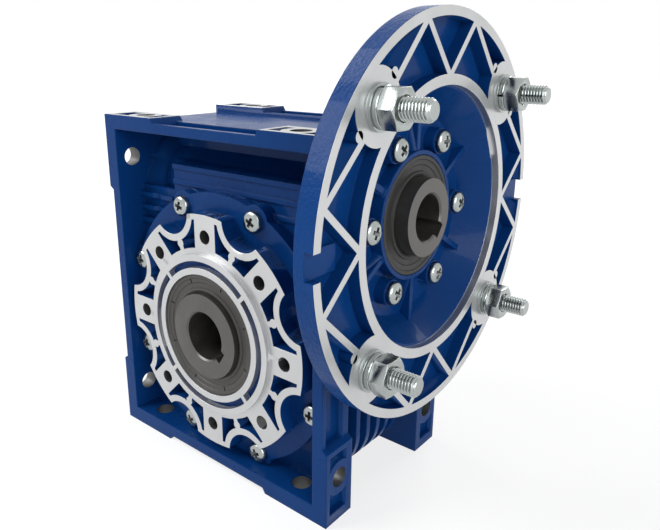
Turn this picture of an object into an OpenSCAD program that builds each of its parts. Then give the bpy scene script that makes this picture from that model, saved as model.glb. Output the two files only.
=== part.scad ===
// Worm gear reducer with a square housing, a hollow output shaft and a motor flange.
// The origin is the centre of the output bore. The output axis lies along Y, the worm axis lies
// along X above it, the motor flange faces +X and +Z is up.

/* [Gear set] */
// Axial module of the worm and the wheel
gear_module = 4; // [3.8:0.1:4.1]
// Number of teeth on the wheel, driven by a worm with one start
wheel_teeth = 30; // [28:1:30]
// Pitch diameter of the worm
worm_pitch_d = 30; // [28:0.5:31]
// Flank angle of the worm thread in degrees
flank_angle = 20; // [18:0.5:22]
// Gap between worm and wheel at each flank
flank_gap = 0.15; // [0.1:0.01:0.3]
// Width of the bronze rim of the wheel
rim_w = 26; // [22:1:28]
// Thickness of the bronze rim under the teeth
rim_t = 9; // [7:0.5:11]
// Length of the worm thread
worm_l = 56; // [48:1:58]

/* [Housing] */
// Distance from the circle of the cover screws to the inside of the rim
rim_margin = 1.5; // [1:0.5:3]
// Depth of the housing between its two rim faces
body_d = 112; // [110:1:120]
// Height of the output axis above the foot faces
foot_drop = 86; // [85:1:92]
// Height of the top faces above the worm axis
head_rise = 44; // [43:1:48]
// Depth of each rim that frames a cover
rim_d = 20; // [18:1:22]
// Thickness of the rim at the sides
side_wall = 9.5; // [9:0.5:10]
// Thickness of the rim at the foot
foot_wall = 10; // [9:0.5:10]
// Thickness of the rim at the top
head_wall = 8.5; // [8:0.5:10]
// Height of the corner pads over the rest of the rim
pad_rise = 3; // [2:0.5:3.5]
// Length of each corner pad
pad_l = 44; // [42:1:48]
// Thickness of the walls beside the grooves and pockets of the rim
groove_wall = 3; // [2.5:0.5:4]
// Depth of the grooves and pockets of the rim
groove_depth = 4; // [3:0.5:5]
// Diameter of the fixing holes in the corner pads
foot_hole_d = 11; // [9:0.5:13]
// Distance from a side, the foot or the top to the fixing holes in the pads
hole_inset = 26; // [24:1:28]
// Distance from a rim face to the fixing holes
hole_setback = 11; // [10:0.5:12]
// Thickness of the round wall around the wheel
barrel_wall = 5; // [4:0.5:5.5]
// Number of cooling fins around the wheel
fin_n = 5; // [3:1:5]
// Distance between the cooling fins
fin_pitch = 10; // [9:0.5:12]
// Thickness of a cooling fin
fin_t = 3.5; // [2.5:0.5:4.5]
// Distance from the side of the housing to the edge of the fins
fin_inset = 6; // [5:0.5:7]
// Radius of the rounded lower corners of the fins
fin_corner_r = 30; // [25:1:33]
// Thickness of the wall around the worm
tunnel_wall = 7; // [6:0.5:8]

/* [Output covers] */
// Radius of the lobed plate of a cover
lobe_r = 70; // [69:0.5:70.5]
// Number of screws and of bolt holes in a cover
cover_screw_n = 8; // [8:1:8]
// Pitch circle diameter of the machine bolt holes in a cover
face_bolt_pcd = 115; // [114:1:116]
// Diameter of the machine bolt holes in a cover
face_bolt_d = 8; // [6:0.5:9]
// Depth of the machine bolt holes
face_bolt_depth = 14; // [12:1:14]
// Thickness of the screwed flange of a cover
cover_flange_t = 5; // [4:0.5:6]
// Height of the lobed plate over the screwed flange
lobe_h = 10; // [8:0.5:11]
// Depth of the pockets in the lobed plate
cover_pocket_depth = 8; // [5:0.5:8]
// Diameter of the locating spigot
spigot_d = 95; // [93:0.5:97]
// Height of the locating spigot
spigot_h = 2.5; // [2:0.5:3]
// Width of the walls between the pockets of a cover
cover_web_t = 3.2; // [2.5:0.1:4]

/* [Output shaft] */
// Bore of the hollow output shaft
output_bore_d = 28; // [26:1:35]
// Width of the keyways in both bores
key_w = 8; // [6:0.5:10]
// Depth of the keyway beyond the output bore
output_key_h = 3.3; // [2.5:0.1:4]
// Length of the hollow output shaft
output_l = 120; // [118:1:128]
// Diameter of the hollow output shaft in its bearings and seals
output_d = 50; // [49:0.5:50]

/* [Bearings and seals] */
// Outside diameter of the output bearings
output_bearing_d = 80; // [78:0.5:80]
// Width of the output bearings
output_bearing_w = 16; // [14:0.5:16]
// Diameter of the balls in the output bearings
output_ball_d = 8.7; // [8:0.1:9]
// Diameter of the input shaft in its bearing and seal
input_d = 40; // [38:0.5:40]
// Outside diameter of the input bearing
input_bearing_d = 68; // [66:0.5:68]
// Diameter of the tail of the worm shaft
tail_d = 25; // [24:0.5:25]
// Outside diameter of the tail bearing
tail_bearing_d = 52; // [50:0.5:52]
// Width of the input bearing and of the tail bearing
input_bearing_w = 15; // [13:0.5:15]
// Diameter of the balls in the input bearing and in the tail bearing
input_ball_d = 7.9; // [7:0.1:8]
// Outside diameter of the output seals
output_seal_d = 72; // [70:0.5:72]
// Outside diameter of the input seal
input_seal_d = 62; // [60:0.5:62]
// Width of the seals
seal_w = 8; // [7:0.5:8]

/* [Motor flange] */
// Distance from the output axis to the face of the motor flange
flange_x = 112.5; // [111:0.5:116]
// Width of the motor flange outside the circle of the motor bolts
flange_margin = 17.5; // [16:0.5:19]
// Thickness of the motor flange
flange_t = 10; // [9:0.5:12]
// Distance from the register to the circle of the motor bolts
register_margin = 17.5; // [16:0.5:19]
// Diameter of the register that centres the motor
register_d = 130; // [128:1:131]
// Depth of the register
register_depth = 4; // [3:0.5:5]
// Width of the zigzag ribs of the flange
flange_rib_t = 3.2; // [2.5:0.1:4]
// Thickness of the dished floor of the flange
dish_t = 5.2; // [4.5:0.1:6]
// Thickness of the gasket under the flange
gasket_t = 0.5; // [0.3:0.1:1]

/* [Worm shaft] */
// Bore of the hollow input shaft
input_bore_d = 24; // [22:1:25]
// Depth of the input bore
input_bore_l = 50; // [45:1:52]
// Depth of the keyway beyond the input bore
input_key_h = 3.3; // [2.5:0.1:4]
// Distance from the face of the motor flange back to the end of the input shaft
input_setback = 7; // [5:0.5:9]

/* [Fasteners] */
// Thread diameter of the housing screws
screw_d = 6; // [5:0.5:6]
// Head diameter of the housing screws
screw_head_d = 12.3; // [10:0.1:12.5]
// Head height of the housing screws
screw_head_h = 4; // [3:0.5:4.5]
// Length of the housing screws under the head
cover_screw_l = 17; // [14:1:18]
// Thread diameter of the motor bolts
motor_bolt_d = 10; // [8:1:10]
// Length of the motor bolts under the head
motor_bolt_l = 35; // [32:1:45]
// Width across the flats of the motor bolts and nuts
motor_bolt_af = 17; // [16:0.5:18]
// Height of the motor nuts
motor_nut_h = 8; // [7:0.5:9]
// Height of the heads of the motor bolts
motor_head_h = 6.4; // [5.5:0.1:7]

/* [Fits] */
// Radial gap between pieces that are pressed together or located
seat_gap = 0.02; // [0.01:0.01:0.04]
// Radial gap between pieces that run on each other
run_gap = 0.05; // [0.03:0.01:0.1]
// Radial gap between a screw and its tapped hole
thread_gap = 0.06; // [0.04:0.01:0.1]
// Radial gap between a screw and the hole it passes through
screw_gap = 0.4; // [0.2:0.1:0.5]

/* [Hidden] */
$fn = 96;

// Gear geometry
lead = PI * gear_module;
wheel_pitch_r = gear_module * wheel_teeth / 2;
worm_pitch_r = worm_pitch_d / 2;
centre_z = wheel_pitch_r + worm_pitch_r;
root_factor = 1.2;
worm_tip_r = worm_pitch_r + gear_module;
worm_root_r = worm_pitch_r - root_factor * gear_module;
throat_r = worm_pitch_r - gear_module;
wheel_root_r = wheel_pitch_r - root_factor * gear_module;
wheel_outer_r = wheel_pitch_r + 1.5 * gear_module;
hub_r = wheel_root_r - rim_t;
thread_half = lead / 4 - flank_gap / 2;
lead_angle = atan(lead / (2 * PI * worm_pitch_r));
gap_flare = 3.6;

// Housing geometry
wheel_space = 2;
cavity_r = wheel_outer_r + wheel_space;
screw_ring = 7;
cover_screw_r = cavity_r + screw_ring;
open_half_w = cover_screw_r + rim_margin;
half_w = open_half_w + side_wall;
half_d = body_d / 2;
top_z = centre_z + head_rise;
foot_span_x = 2 * (half_w - hole_inset);
foot_span_y = body_d - 2 * hole_setback;
rim_back = half_d - rim_d;
open_low = -foot_drop + foot_wall;
open_high = top_z - head_wall;
pad_slope = 2;
barrel_r = cavity_r + barrel_wall;
web_t = 4;
web_front = rim_back + 2;
fin_out = half_w - fin_inset;
fin_low = -foot_drop + fin_inset;
hole_ring_r = foot_hole_d / 2 + 4.5;
worm_space = 5;
tunnel_r = worm_tip_r + worm_space;
tunnel_out_r = tunnel_r + tunnel_wall;
block_inset_left = 40;
block_inset_right = 31;
block_rise = 16;
worm_block_left = block_inset_left - half_w;
worm_block_right = half_w - block_inset_right;
worm_block_top = centre_z + block_rise;
deck_z = top_z - pad_rise - 2;
deck_t = 7;
core_drop = 20;
core_low = centre_z - core_drop;
side_wall_drop = 40;
side_wall_low = centre_z - side_wall_drop;
block_foot = 4;
land_depth = 8;
seat_depth = 17;
web_rib_t = 3;
web_rib_pitch = 8.2;
web_rib_drop = 23.5;
web_rib_low = centre_z - web_rib_drop;
block_rib_pitch = 9;
side_groove_end = -8;
core_half_d = 20;
tail_boss_wall = 9;

// Cover geometry, with z counted outwards from the middle of the housing
cover_face = half_d;
cover_seat = cover_face - lobe_h;
cover_joint = cover_seat - cover_flange_t;
screw_land = 5.2;
cover_outer_r = cover_screw_r + screw_land;
scallop_r = 14.8;
cover_ear_r = 9;
cover_pitch = 360 / cover_screw_n;
cover_gap = 0.5;
spigot_face = cover_face + spigot_h;
pilot_h = 5;
pilot_t = 6;
ring_section = 2.4;
ring_squeeze = 0.1;
ring_wall = 1;
bolt_wall = 4.2;
cover_knob_at = face_bolt_pcd / 2 - 3;
scallop_wall = 4;

// Bearings as [bore, outside, width, ball diameter, number of balls]
output_bearing = [output_d, output_bearing_d, output_bearing_w, output_ball_d, 14];
input_bearing = [input_d, input_bearing_d, input_bearing_w, input_ball_d, 12];
tail_bearing = [tail_d, tail_bearing_d, input_bearing_w, input_ball_d, 9];
bearing_shoulder = 4;
bearing_lip = 3;
bearing_wall = 7;
// Half the gap between the lands and half the cage, as shares of the ball's diameter
land_share = 0.29;
cage_share = 0.16;
// Setback of the cage from each face, as a share of the bearing's width
cage_inset = 0.15;
seal_sink = 1;
output_seal_out = spigot_face - seal_sink;
seal_ledge = 1.5;
output_bearing_out = output_seal_out - seal_w - seal_ledge;
output_bearing_in = output_bearing_out - output_bearing_w;
seal_lip = 1.6;
seal_dip = 1;
seal_web = 3;
slot_in_r = output_seal_d / 2 + 5;
slot_out_r = slot_in_r + 2.2;
slot_depth = 4;

// Worm shaft stations along X
seat_step = 1;
tail_recess = 10;
input_bearing_out = half_w - seat_step;
input_bearing_in = input_bearing_out - input_bearing_w;
input_end_x = flange_x - input_setback;
flange_seat_x = half_w;
flange_back_x = flange_seat_x + gasket_t;
tail_bearing_out = tail_recess - half_w;
tail_bearing_in = tail_bearing_out + input_bearing_w;
circlip_t = 1.5;
circlip_depth = 1.2;
tail_cap_t = 6;
tail_cap_sink = 0.8;
tail_cap_x = tail_cap_sink - half_w;
tail_shoulder = 3;
shoulder_l = 5;
bore_chamfer = 0.9;
circlip_w = 3.5;
circlip_gap = 6;
cap_wall = 2.5;
cap_skin = 2;

// Motor flange
motor_pcd = register_d + 2 * register_margin;
flange_r = motor_pcd / 2 + flange_margin;
flange_rim_t = 4.5;
flange_rim_in = flange_r - flange_rim_t;
register_r = register_d / 2;
register_wall = 5;
register_ring_r = register_r + register_wall;
flange_web_t = 3;
dish_floor_x = flange_back_x + dish_t;
dish_floor_r = 50;
flange_hub_r = input_seal_d / 2 + 2.2;
flange_hub_h = 7;
flange_hub_x = dish_floor_x + flange_hub_h;
flange_screw_r = 41.2;
flange_screw_n = 6;
flange_boss_r = 6.8;
flange_boss_h = 6.5;
flange_boss_x = dish_floor_x + flange_boss_h;
flange_screw_l = 22;
land_r = dish_floor_r;
motor_boss_wall = 8;
motor_boss_r = motor_bolt_d / 2 + motor_boss_wall;
register_ledge = 1;
dish_lean = 0.62;
gusset_reach = 1.8;
notch_w = 12;
notch_depth = 4.5;
zigzag_angle = 13.5;
knob_r = 2.5;
knob_angle = 10;
knob_shift = 3;
motor_hole_r = motor_bolt_d / 2 + 0.5;
bolt_tip = 1.2;
nut_slope = 1.7;
washer_t = 2;
spring_washer_t = 2.5;
split_lean = 20;
split_gap = 0.8;
washer_r = motor_bolt_d;
spring_washer_r = motor_bolt_d - 1;

// Directions of the keyways, seen on the output face and on the motor face
output_key_turn = -33;
input_key_turn = -38;

// Depth of a tapped hole beyond the end of its screw
tap_spare = 2;

eps = 0.01;

// Frames: in_output puts local Z along -Y and local Y along +Z, in_worm puts local Z along +X
module in_output() rotate([90, 0, 0]) children();
module in_rear() mirror([0, 1, 0]) in_output() children();
module in_worm() translate([0, 0, centre_z]) rotate([90, 0, 90]) children();

module ring(r_in, r_out, z_low, z_high) {
    translate([0, 0, z_low]) difference() {
        cylinder(r = r_out, h = z_high - z_low);
        translate([0, 0, -eps]) cylinder(r = r_in, h = z_high - z_low + 2 * eps);
    }
}

module disc(r, z_low, z_high) {
    translate([0, 0, z_low]) cylinder(r = r, h = z_high - z_low);
}

module slab(x, y, z) {
    translate([x[0], y[0], z[0]]) cube([x[1] - x[0], y[1] - y[0], z[1] - z[0]]);
}

module around(n, turn = 0) {
    for (k = [0:n - 1]) rotate([0, 0, turn + k * 360 / n]) children();
}

// Both ends of the housing, front and rear
module both_faces() {
    in_output() children();
    in_rear() children();
}

// Housing
module rim_outline() {
    inner = half_w - pad_rise;
    translate([-inner, -foot_drop + pad_rise])
        square([2 * inner, foot_drop + top_z - 2 * pad_rise]);
    for (side = [0, 1]) mirror([side, 0]) {
        corner_pad(half_w, top_z, 1);
        corner_pad(half_w, -foot_drop, -1);
    }
}

// Pad that stands proud at one corner, with sloped ends
module corner_pad(x, y, up) {
    polygon([
        [x - pad_l - pad_slope, y - up * pad_rise],
        [x - pad_l, y],
        [x, y],
        [x, y - up * pad_l],
        [x - pad_rise, y - up * (pad_l + pad_slope)],
        [x - pad_l - pad_slope, y - up * (pad_l + pad_slope)]
    ]);
}

module rim_opening() {
    translate([-open_half_w, open_low]) square([2 * open_half_w, open_high - open_low]);
}

module fin_outline() {
    r = fin_corner_r;
    hull() {
        for (side = [-1, 1]) translate([side * (fin_out - r), fin_low + r]) circle(r = r, $fn = 48);
        translate([-fin_out, 0]) square([2 * fin_out, core_low]);
    }
}

// Outline of the screwed flange of a cover and of the seat that it is screwed to
module cover_outline() {
    intersection() {
        union() {
            circle(r = cover_outer_r);
            around(cover_screw_n, cover_pitch / 2)
                translate([cover_screw_r, 0]) circle(r = cover_ear_r);
        }
        translate([-open_half_w + cover_gap, open_low + cover_gap])
            square([2 * (open_half_w - cover_gap), open_high - open_low]);
    }
}

// Land that the motor flange is screwed to, cut off level with the rims
module flange_land() {
    intersection() {
        circle(r = land_r);
        translate([-land_r, -land_r])
            square([2 * land_r, land_r + head_rise - pad_rise]);
    }
}

module rim() {
    translate([0, 0, rim_back]) linear_extrude(rim_d) difference() {
        rim_outline();
        rim_opening();
    }
    // Wall across the rim, open above the worm
    translate([0, 0, web_front - web_t]) linear_extrude(web_t) difference() {
        rim_outline();
        translate([-open_half_w, worm_block_top])
            square([2 * open_half_w, open_high - worm_block_top]);
        translate([-open_half_w, centre_z])
            square([open_half_w + worm_block_left, open_high - centre_z]);
    }
    translate([0, 0, cover_joint - seat_depth]) linear_extrude(seat_depth) cover_outline();
    // Short ribs beside the worm block
    for (k = [0:2])
        slab([-open_half_w - 1, worm_block_left + 1],
             [web_rib_low + web_rib_pitch * k, web_rib_low + web_rib_pitch * k + web_rib_t],
             [web_front - 1, web_front + web_rib_t]);
    // Ribs along the worm block
    for (k = [0:2])
        slab([worm_block_left, worm_block_right],
             [worm_block_top - web_rib_t - block_rib_pitch * k, worm_block_top - block_rib_pitch * k],
             [rim_back - 1, web_front + 1]);
}

// Grooves and pockets in the outside of one rim, for the top or the foot
module rim_groove_x(y, up, from, to) {
    slab([from, to], [min(y, y - up * groove_depth), max(y, y - up * groove_depth)],
         [rim_back + groove_wall, half_d - groove_wall]);
}

module pad_pockets(y, up) {
    low = min(y + up, y - up * groove_depth);
    high = max(y + up, y - up * groove_depth);
    difference() {
        slab([half_w - pad_l + groove_wall, half_w - 2 * groove_wall], [low, high],
             [rim_back + groove_wall, half_d - groove_wall]);
        translate([foot_span_x / 2, 0, foot_span_y / 2]) rotate([90, 0, 0])
            cylinder(r = hole_ring_r, h = 3 * top_z, center = true);
    }
}

// Places of the fixing holes in a side; the upper one faces the motor flange and is left out there
module side_holes(side) {
    for (y = side > 0 ? [-foot_drop + hole_inset]
                      : [-foot_drop + hole_inset, top_z - hole_inset])
        translate([0, y, foot_span_y / 2]) rotate([0, 90, 0]) children();
}

module side_pockets(side) {
    x = [half_w - groove_depth, half_w + 1];
    z = [rim_back + groove_wall, half_d - groove_wall];
    difference() {
        union() {
            slab(x, [-foot_drop + 2 * groove_wall, -foot_drop + pad_l - groove_wall], z);
            slab(x, [top_z - pad_l + groove_wall, top_z - 2 * groove_wall], z);
            slab([half_w - pad_rise - groove_depth, half_w + 1],
                 [-foot_drop + pad_l + pad_slope, side > 0 ? side_groove_end : top_z - pad_l - pad_slope], z);
        }
        side_holes(side) cylinder(r = hole_ring_r, h = 3 * half_w);
    }
}

module rim_cuts() {
    rim_groove_x(top_z - pad_rise + 0.1, 1, -half_w + pad_l + pad_slope, half_w - pad_l - pad_slope);
    rim_groove_x(-foot_drop + pad_rise - 0.1, -1, -half_w + pad_l + pad_slope, half_w - pad_l - pad_slope);
    for (side = [0, 1]) mirror([side, 0, 0]) {
        pad_pockets(top_z, 1);
        pad_pockets(-foot_drop, -1);
    }
    side_pockets(1);
    mirror([1, 0, 0]) side_pockets(-1);
    // Fixing holes
    for (x = [-1, 1]) translate([x * foot_span_x / 2, 0, foot_span_y / 2]) rotate([90, 0, 0])
        cylinder(d = foot_hole_d, h = 3 * top_z, center = true);
    side_holes(1) cylinder(d = foot_hole_d, h = 3 * half_w);
    mirror([1, 0, 0]) side_holes(-1) cylinder(d = foot_hole_d, h = 3 * half_w);
    // Tapped holes for the cover screws
    around(cover_screw_n, cover_pitch / 2) translate([cover_screw_r, 0, 0])
        disc(screw_d / 2 + thread_gap, cover_seat - cover_screw_l - tap_spare, half_d);
}

module housing() {
    color([0.05, 0.18, 0.55]) difference() {
        union() {
            both_faces() rim();
            in_output() {
                disc(barrel_r, -web_front, web_front);
                for (k = [0:fin_n - 1])
                    translate([0, 0, (k - (fin_n - 1) / 2) * fin_pitch - fin_t / 2])
                        linear_extrude(fin_t) fin_outline();
            }
            // Tunnel of the worm, the block on it and the deck over it
            in_worm() disc(tunnel_out_r, -half_w + 1, half_w - 1);
            slab([worm_block_left, worm_block_right], [-rim_back, rim_back],
                 [centre_z - tunnel_out_r - block_foot, worm_block_top]);
            slab([-fin_out, fin_out], [-core_half_d, core_half_d], [core_low, deck_z]);
            slab([-half_w + pad_rise, half_w - pad_rise], [-rim_back, rim_back], [deck_z - deck_t, deck_z]);
            // Side walls beside the worm
            for (side = [-1, 1])
                slab([side * (half_w - pad_rise) - (side > 0 ? side_wall - pad_rise : 0),
                      side * (half_w - pad_rise) + (side > 0 ? 0 : side_wall - pad_rise)],
                     [-rim_back, rim_back], [side_wall_low, deck_z]);
            // Lands for the motor flange and for the tail of the worm
            in_worm() {
                translate([0, 0, half_w - side_wall - land_depth])
                    linear_extrude(side_wall + land_depth) flange_land();
                disc(tail_bearing[1] / 2 + tail_boss_wall, -half_w, tail_bearing_in);
            }
        }
        both_faces() rim_cuts();
        in_output() disc(cavity_r, -cover_joint - eps, cover_joint + eps);
        in_worm() {
            disc(tunnel_r, tail_bearing_in + bearing_lip, input_bearing_in - bearing_lip);
            disc(tail_bearing[1] / 2 - bearing_shoulder, tail_bearing_in - 1, 0);
            disc(input_bearing[1] / 2 - bearing_shoulder, 0, input_bearing_in + 1);
            disc(input_bearing[1] / 2 + seat_gap, input_bearing_in, flange_seat_x + 1);
            disc(tail_bearing[1] / 2 + seat_gap, -half_w - 1, tail_bearing_in);
            disc(tail_bearing[1] / 2 + circlip_depth, tail_bearing_out - circlip_t - 0.1, tail_bearing_out);
            around(flange_screw_n) translate([flange_screw_r, 0, 0])
                disc(screw_d / 2 + thread_gap, flange_boss_x - flange_screw_l - tap_spare, flange_seat_x + 1);
        }
    }
}

// Output cover, z counted outwards
module lobed_outline() {
    difference() {
        circle(r = lobe_r);
        around(cover_screw_n, cover_pitch / 2)
            translate([cover_screw_r, 0]) circle(r = scallop_r);
    }
}

// One pocket between a bolt hole at angle 0 and the screw beside it
module cover_pocket() {
    half = cover_pitch / 2;
    wall = scallop_r + scallop_wall;
    reach = 2 * lobe_r;
    difference() {
        intersection() {
            circle(r = lobe_r - cover_web_t);
            // Parallel to the bolt hole's radius on one side and to the web on the other
            translate([0, face_bolt_d / 2 + bolt_wall]) square([reach, reach]);
            rotate(half) translate([0, -reach - cover_web_t / 2]) square([reach, reach]);
        }
        circle(r = spigot_d / 2 + cover_web_t);
        rotate(half) translate([cover_screw_r, 0]) circle(r = wall);
        rotate(half) translate([cover_knob_at, 0]) circle(r = knob_r);
    }
}

module cover() {
    difference() {
        union() {
            translate([0, 0, cover_joint]) linear_extrude(cover_flange_t) cover_outline();
            translate([0, 0, cover_seat]) linear_extrude(lobe_h) lobed_outline();
            disc(spigot_d / 2, cover_face - eps, spigot_face);
            ring(cavity_r - pilot_t, cavity_r - seat_gap, cover_joint - pilot_h, cover_joint + 1);
            ring(output_bearing[1] / 2, output_bearing[1] / 2 + bearing_wall, output_bearing_in, cover_joint + 1);
        }
        // Seal bore, shoulder and bearing bore
        disc(output_seal_d / 2 + seat_gap, output_seal_out - seal_w, spigot_face + 1);
        disc(output_bearing[1] / 2 - bearing_shoulder, output_bearing_in - 1, output_seal_out);
        disc(output_bearing[1] / 2 + seat_gap, output_bearing_in - 1, output_bearing_out);
        // Ring slots around the seal
        difference() {
            ring(slot_in_r, slot_out_r, spigot_face - slot_depth, spigot_face + 1);
            around(4, 45) slab([0, spigot_d], [-cover_web_t / 2, cover_web_t / 2], [0, spigot_face + 2]);
        }
        around(cover_screw_n) {
            translate([face_bolt_pcd / 2, 0, 0])
                disc(face_bolt_d / 2, cover_face - face_bolt_depth, cover_face + 1);
            translate([0, 0, cover_face - cover_pocket_depth]) linear_extrude(cover_pocket_depth + 1) {
                cover_pocket();
                mirror([0, 1]) cover_pocket();
            }
        }
        around(cover_screw_n, cover_pitch / 2) translate([cover_screw_r, 0, 0])
            disc(screw_d / 2 + screw_gap, cover_joint - 1, cover_seat + 1);
        // Groove of the sealing ring
        ring(cavity_r - ring_section + ring_squeeze, cavity_r + 1,
             cover_joint - ring_wall - ring_section, cover_joint - ring_wall);
    }
}

module front_cover() {
    color([0.05, 0.18, 0.55]) in_output() cover();
}

module rear_cover() {
    color([0.05, 0.18, 0.55]) in_rear() cover();
}

// Pan head screw, its seat at z = 0 and its head above
module screw(l) {
    crown = screw_head_d;
    intersection() {
        cylinder(d = screw_head_d, h = screw_head_h);
        translate([0, 0, screw_head_h - crown]) sphere(r = crown);
    }
    translate([0, 0, -l]) cylinder(d = screw_d, h = l + eps);
}

module cover_screws() {
    around(cover_screw_n, cover_pitch / 2)
        translate([cover_screw_r, 0, cover_seat]) screw(cover_screw_l);
}

module front_cover_screws() {
    color([0.8, 0.8, 0.78]) in_output() cover_screws();
}

module rear_cover_screws() {
    color([0.8, 0.8, 0.78]) in_rear() cover_screws();
}

module o_ring() {
    r = ring_section / 2 - ring_squeeze;
    translate([0, 0, cover_joint - ring_wall - ring_section / 2])
        rotate_extrude() translate([cavity_r - ring_section / 2, 0]) circle(r = r);
}

module front_cover_o_ring() {
    color([0.1, 0.1, 0.1]) in_output() o_ring();
}

module rear_cover_o_ring() {
    color([0.1, 0.1, 0.1]) in_rear() o_ring();
}

// Rotary shaft seal from z = 0 to z = w, its open face up
module shaft_seal(shaft_d, d, w) {
    difference() {
        ring(shaft_d / 2 + run_gap, d / 2, 0, w);
        ring(shaft_d / 2 + 2 * seal_lip, d / 2 - 2 * seal_lip, w - seal_dip, w + 1);
        ring(shaft_d / 2 + run_gap + seal_lip, d / 2 - seal_lip, -1, w - seal_web);
        ring(0.1, shaft_d / 2 + seal_lip / 2, -1, w / 2 - seal_dip);
    }
}

module output_seal() {
    translate([0, 0, output_seal_out - seal_w])
        shaft_seal(output_d, output_seal_d, seal_w);
}

module front_output_seal() {
    color([0.2, 0.19, 0.18]) in_output() output_seal();
}

module rear_output_seal() {
    color([0.2, 0.19, 0.18]) in_rear() output_seal();
}

// Ball bearings from z = 0 to z = width
function pitch_r(b) = (b[0] + b[1]) / 4;
function land_gap(b) = b[3] * land_share;

module bearing_outer(b) {
    rotate_extrude() difference() {
        translate([pitch_r(b) + land_gap(b), 0]) square([b[1] / 2 - pitch_r(b) - land_gap(b), b[2]]);
        translate([pitch_r(b), b[2] / 2]) circle(r = b[3] / 2 + run_gap);
    }
}

module bearing_inner(b) {
    rotate_extrude() difference() {
        translate([b[0] / 2 + seat_gap, 0])
            square([pitch_r(b) - land_gap(b) - b[0] / 2 - seat_gap, b[2]]);
        translate([pitch_r(b), b[2] / 2]) circle(r = b[3] / 2 + run_gap);
    }
}

module bearing_balls(b) {
    around(b[4]) translate([pitch_r(b), 0, b[2] / 2]) sphere(d = b[3]);
}

module bearing_cage(b) {
    half = b[3] * cage_share;
    difference() {
        ring(pitch_r(b) - half, pitch_r(b) + half, b[2] * cage_inset, b[2] * (1 - cage_inset));
        around(b[4]) translate([pitch_r(b) - 2 * half, 0, b[2] / 2]) rotate([0, 90, 0])
            cylinder(r = b[3] / 2 + 3 * run_gap, h = 4 * half);
    }
}

module at_output_bearing() translate([0, 0, output_bearing_in]) children();
module at_input_bearing() in_worm() translate([0, 0, input_bearing_in]) children();
module at_tail_bearing() in_worm() translate([0, 0, tail_bearing_out]) children();

module front_bearing_outer() {
    color([0.7, 0.7, 0.72]) in_output() at_output_bearing() bearing_outer(output_bearing);
}

module front_bearing_inner() {
    color([0.7, 0.7, 0.72]) in_output() at_output_bearing() bearing_inner(output_bearing);
}

module front_bearing_balls() {
    color([0.8, 0.8, 0.82]) in_output() at_output_bearing() bearing_balls(output_bearing);
}

module front_bearing_cage() {
    color([0.6, 0.55, 0.4]) in_output() at_output_bearing() bearing_cage(output_bearing);
}

module rear_bearing_outer() {
    color([0.7, 0.7, 0.72]) in_rear() at_output_bearing() bearing_outer(output_bearing);
}

module rear_bearing_inner() {
    color([0.7, 0.7, 0.72]) in_rear() at_output_bearing() bearing_inner(output_bearing);
}

module rear_bearing_balls() {
    color([0.8, 0.8, 0.82]) in_rear() at_output_bearing() bearing_balls(output_bearing);
}

module rear_bearing_cage() {
    color([0.6, 0.55, 0.4]) in_rear() at_output_bearing() bearing_cage(output_bearing);
}

module input_bearing_outer() {
    color([0.7, 0.7, 0.72]) at_input_bearing() bearing_outer(input_bearing);
}

module input_bearing_inner() {
    color([0.7, 0.7, 0.72]) at_input_bearing() bearing_inner(input_bearing);
}

module input_bearing_balls() {
    color([0.8, 0.8, 0.82]) at_input_bearing() bearing_balls(input_bearing);
}

module input_bearing_cage() {
    color([0.6, 0.55, 0.4]) at_input_bearing() bearing_cage(input_bearing);
}

module tail_bearing_outer() {
    color([0.7, 0.7, 0.72]) at_tail_bearing() bearing_outer(tail_bearing);
}

module tail_bearing_inner() {
    color([0.7, 0.7, 0.72]) at_tail_bearing() bearing_inner(tail_bearing);
}

module tail_bearing_balls() {
    color([0.8, 0.8, 0.82]) at_tail_bearing() bearing_balls(tail_bearing);
}

module tail_bearing_cage() {
    color([0.6, 0.55, 0.4]) at_tail_bearing() bearing_cage(tail_bearing);
}

// Hollow output shaft with the hub that carries the bronze rim
module output_shaft() {
    half_l = output_l / 2;
    color([0.33, 0.32, 0.31]) in_output() difference() {
        union() {
            disc(output_d / 2, -half_l, half_l);
            disc(output_d / 2 + bearing_shoulder, -output_bearing_in, output_bearing_in);
            disc(hub_r, -rim_w / 2, rim_w / 2);
        }
        disc(output_bore_d / 2, -half_l - 1, half_l + 1);
        for (side = [0, 1]) mirror([0, 0, side]) translate([0, 0, half_l - bore_chamfer])
            cylinder(r1 = output_bore_d / 2, r2 = output_bore_d / 2 + bore_chamfer + eps,
                     h = bore_chamfer + eps);
        rotate(output_key_turn)
            slab([0, output_bore_d / 2 + output_key_h], [-key_w / 2, key_w / 2], [-half_l - 1, half_l + 1]);
    }
}

// Involute of an angle in degrees, and half the angle of a tooth gap at radius r
function involute(a) = tan(a) * 180 / PI - a;
function gap_half_angle(r) =
    90 / wheel_teeth - involute(flank_angle)
    + involute(acos(min(1, wheel_pitch_r * cos(flank_angle) / r)));

// One gap between two teeth, its middle on local +Y, cut along local Z
gap_radii = [wheel_root_r, wheel_pitch_r - 3, wheel_pitch_r - 1.2, wheel_pitch_r + 0.8,
             wheel_pitch_r + 2.4, wheel_pitch_r + gear_module, wheel_outer_r + 1];
gap_side = [for (r = gap_radii) r * [sin(gap_half_angle(r)), cos(gap_half_angle(r))]];

module tooth_gap() {
    polygon(concat(
        gap_side,
        [for (k = [len(gap_side) - 1:-1:0]) [-gap_side[k][0], gap_side[k][1]]]
    ));
}

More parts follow.
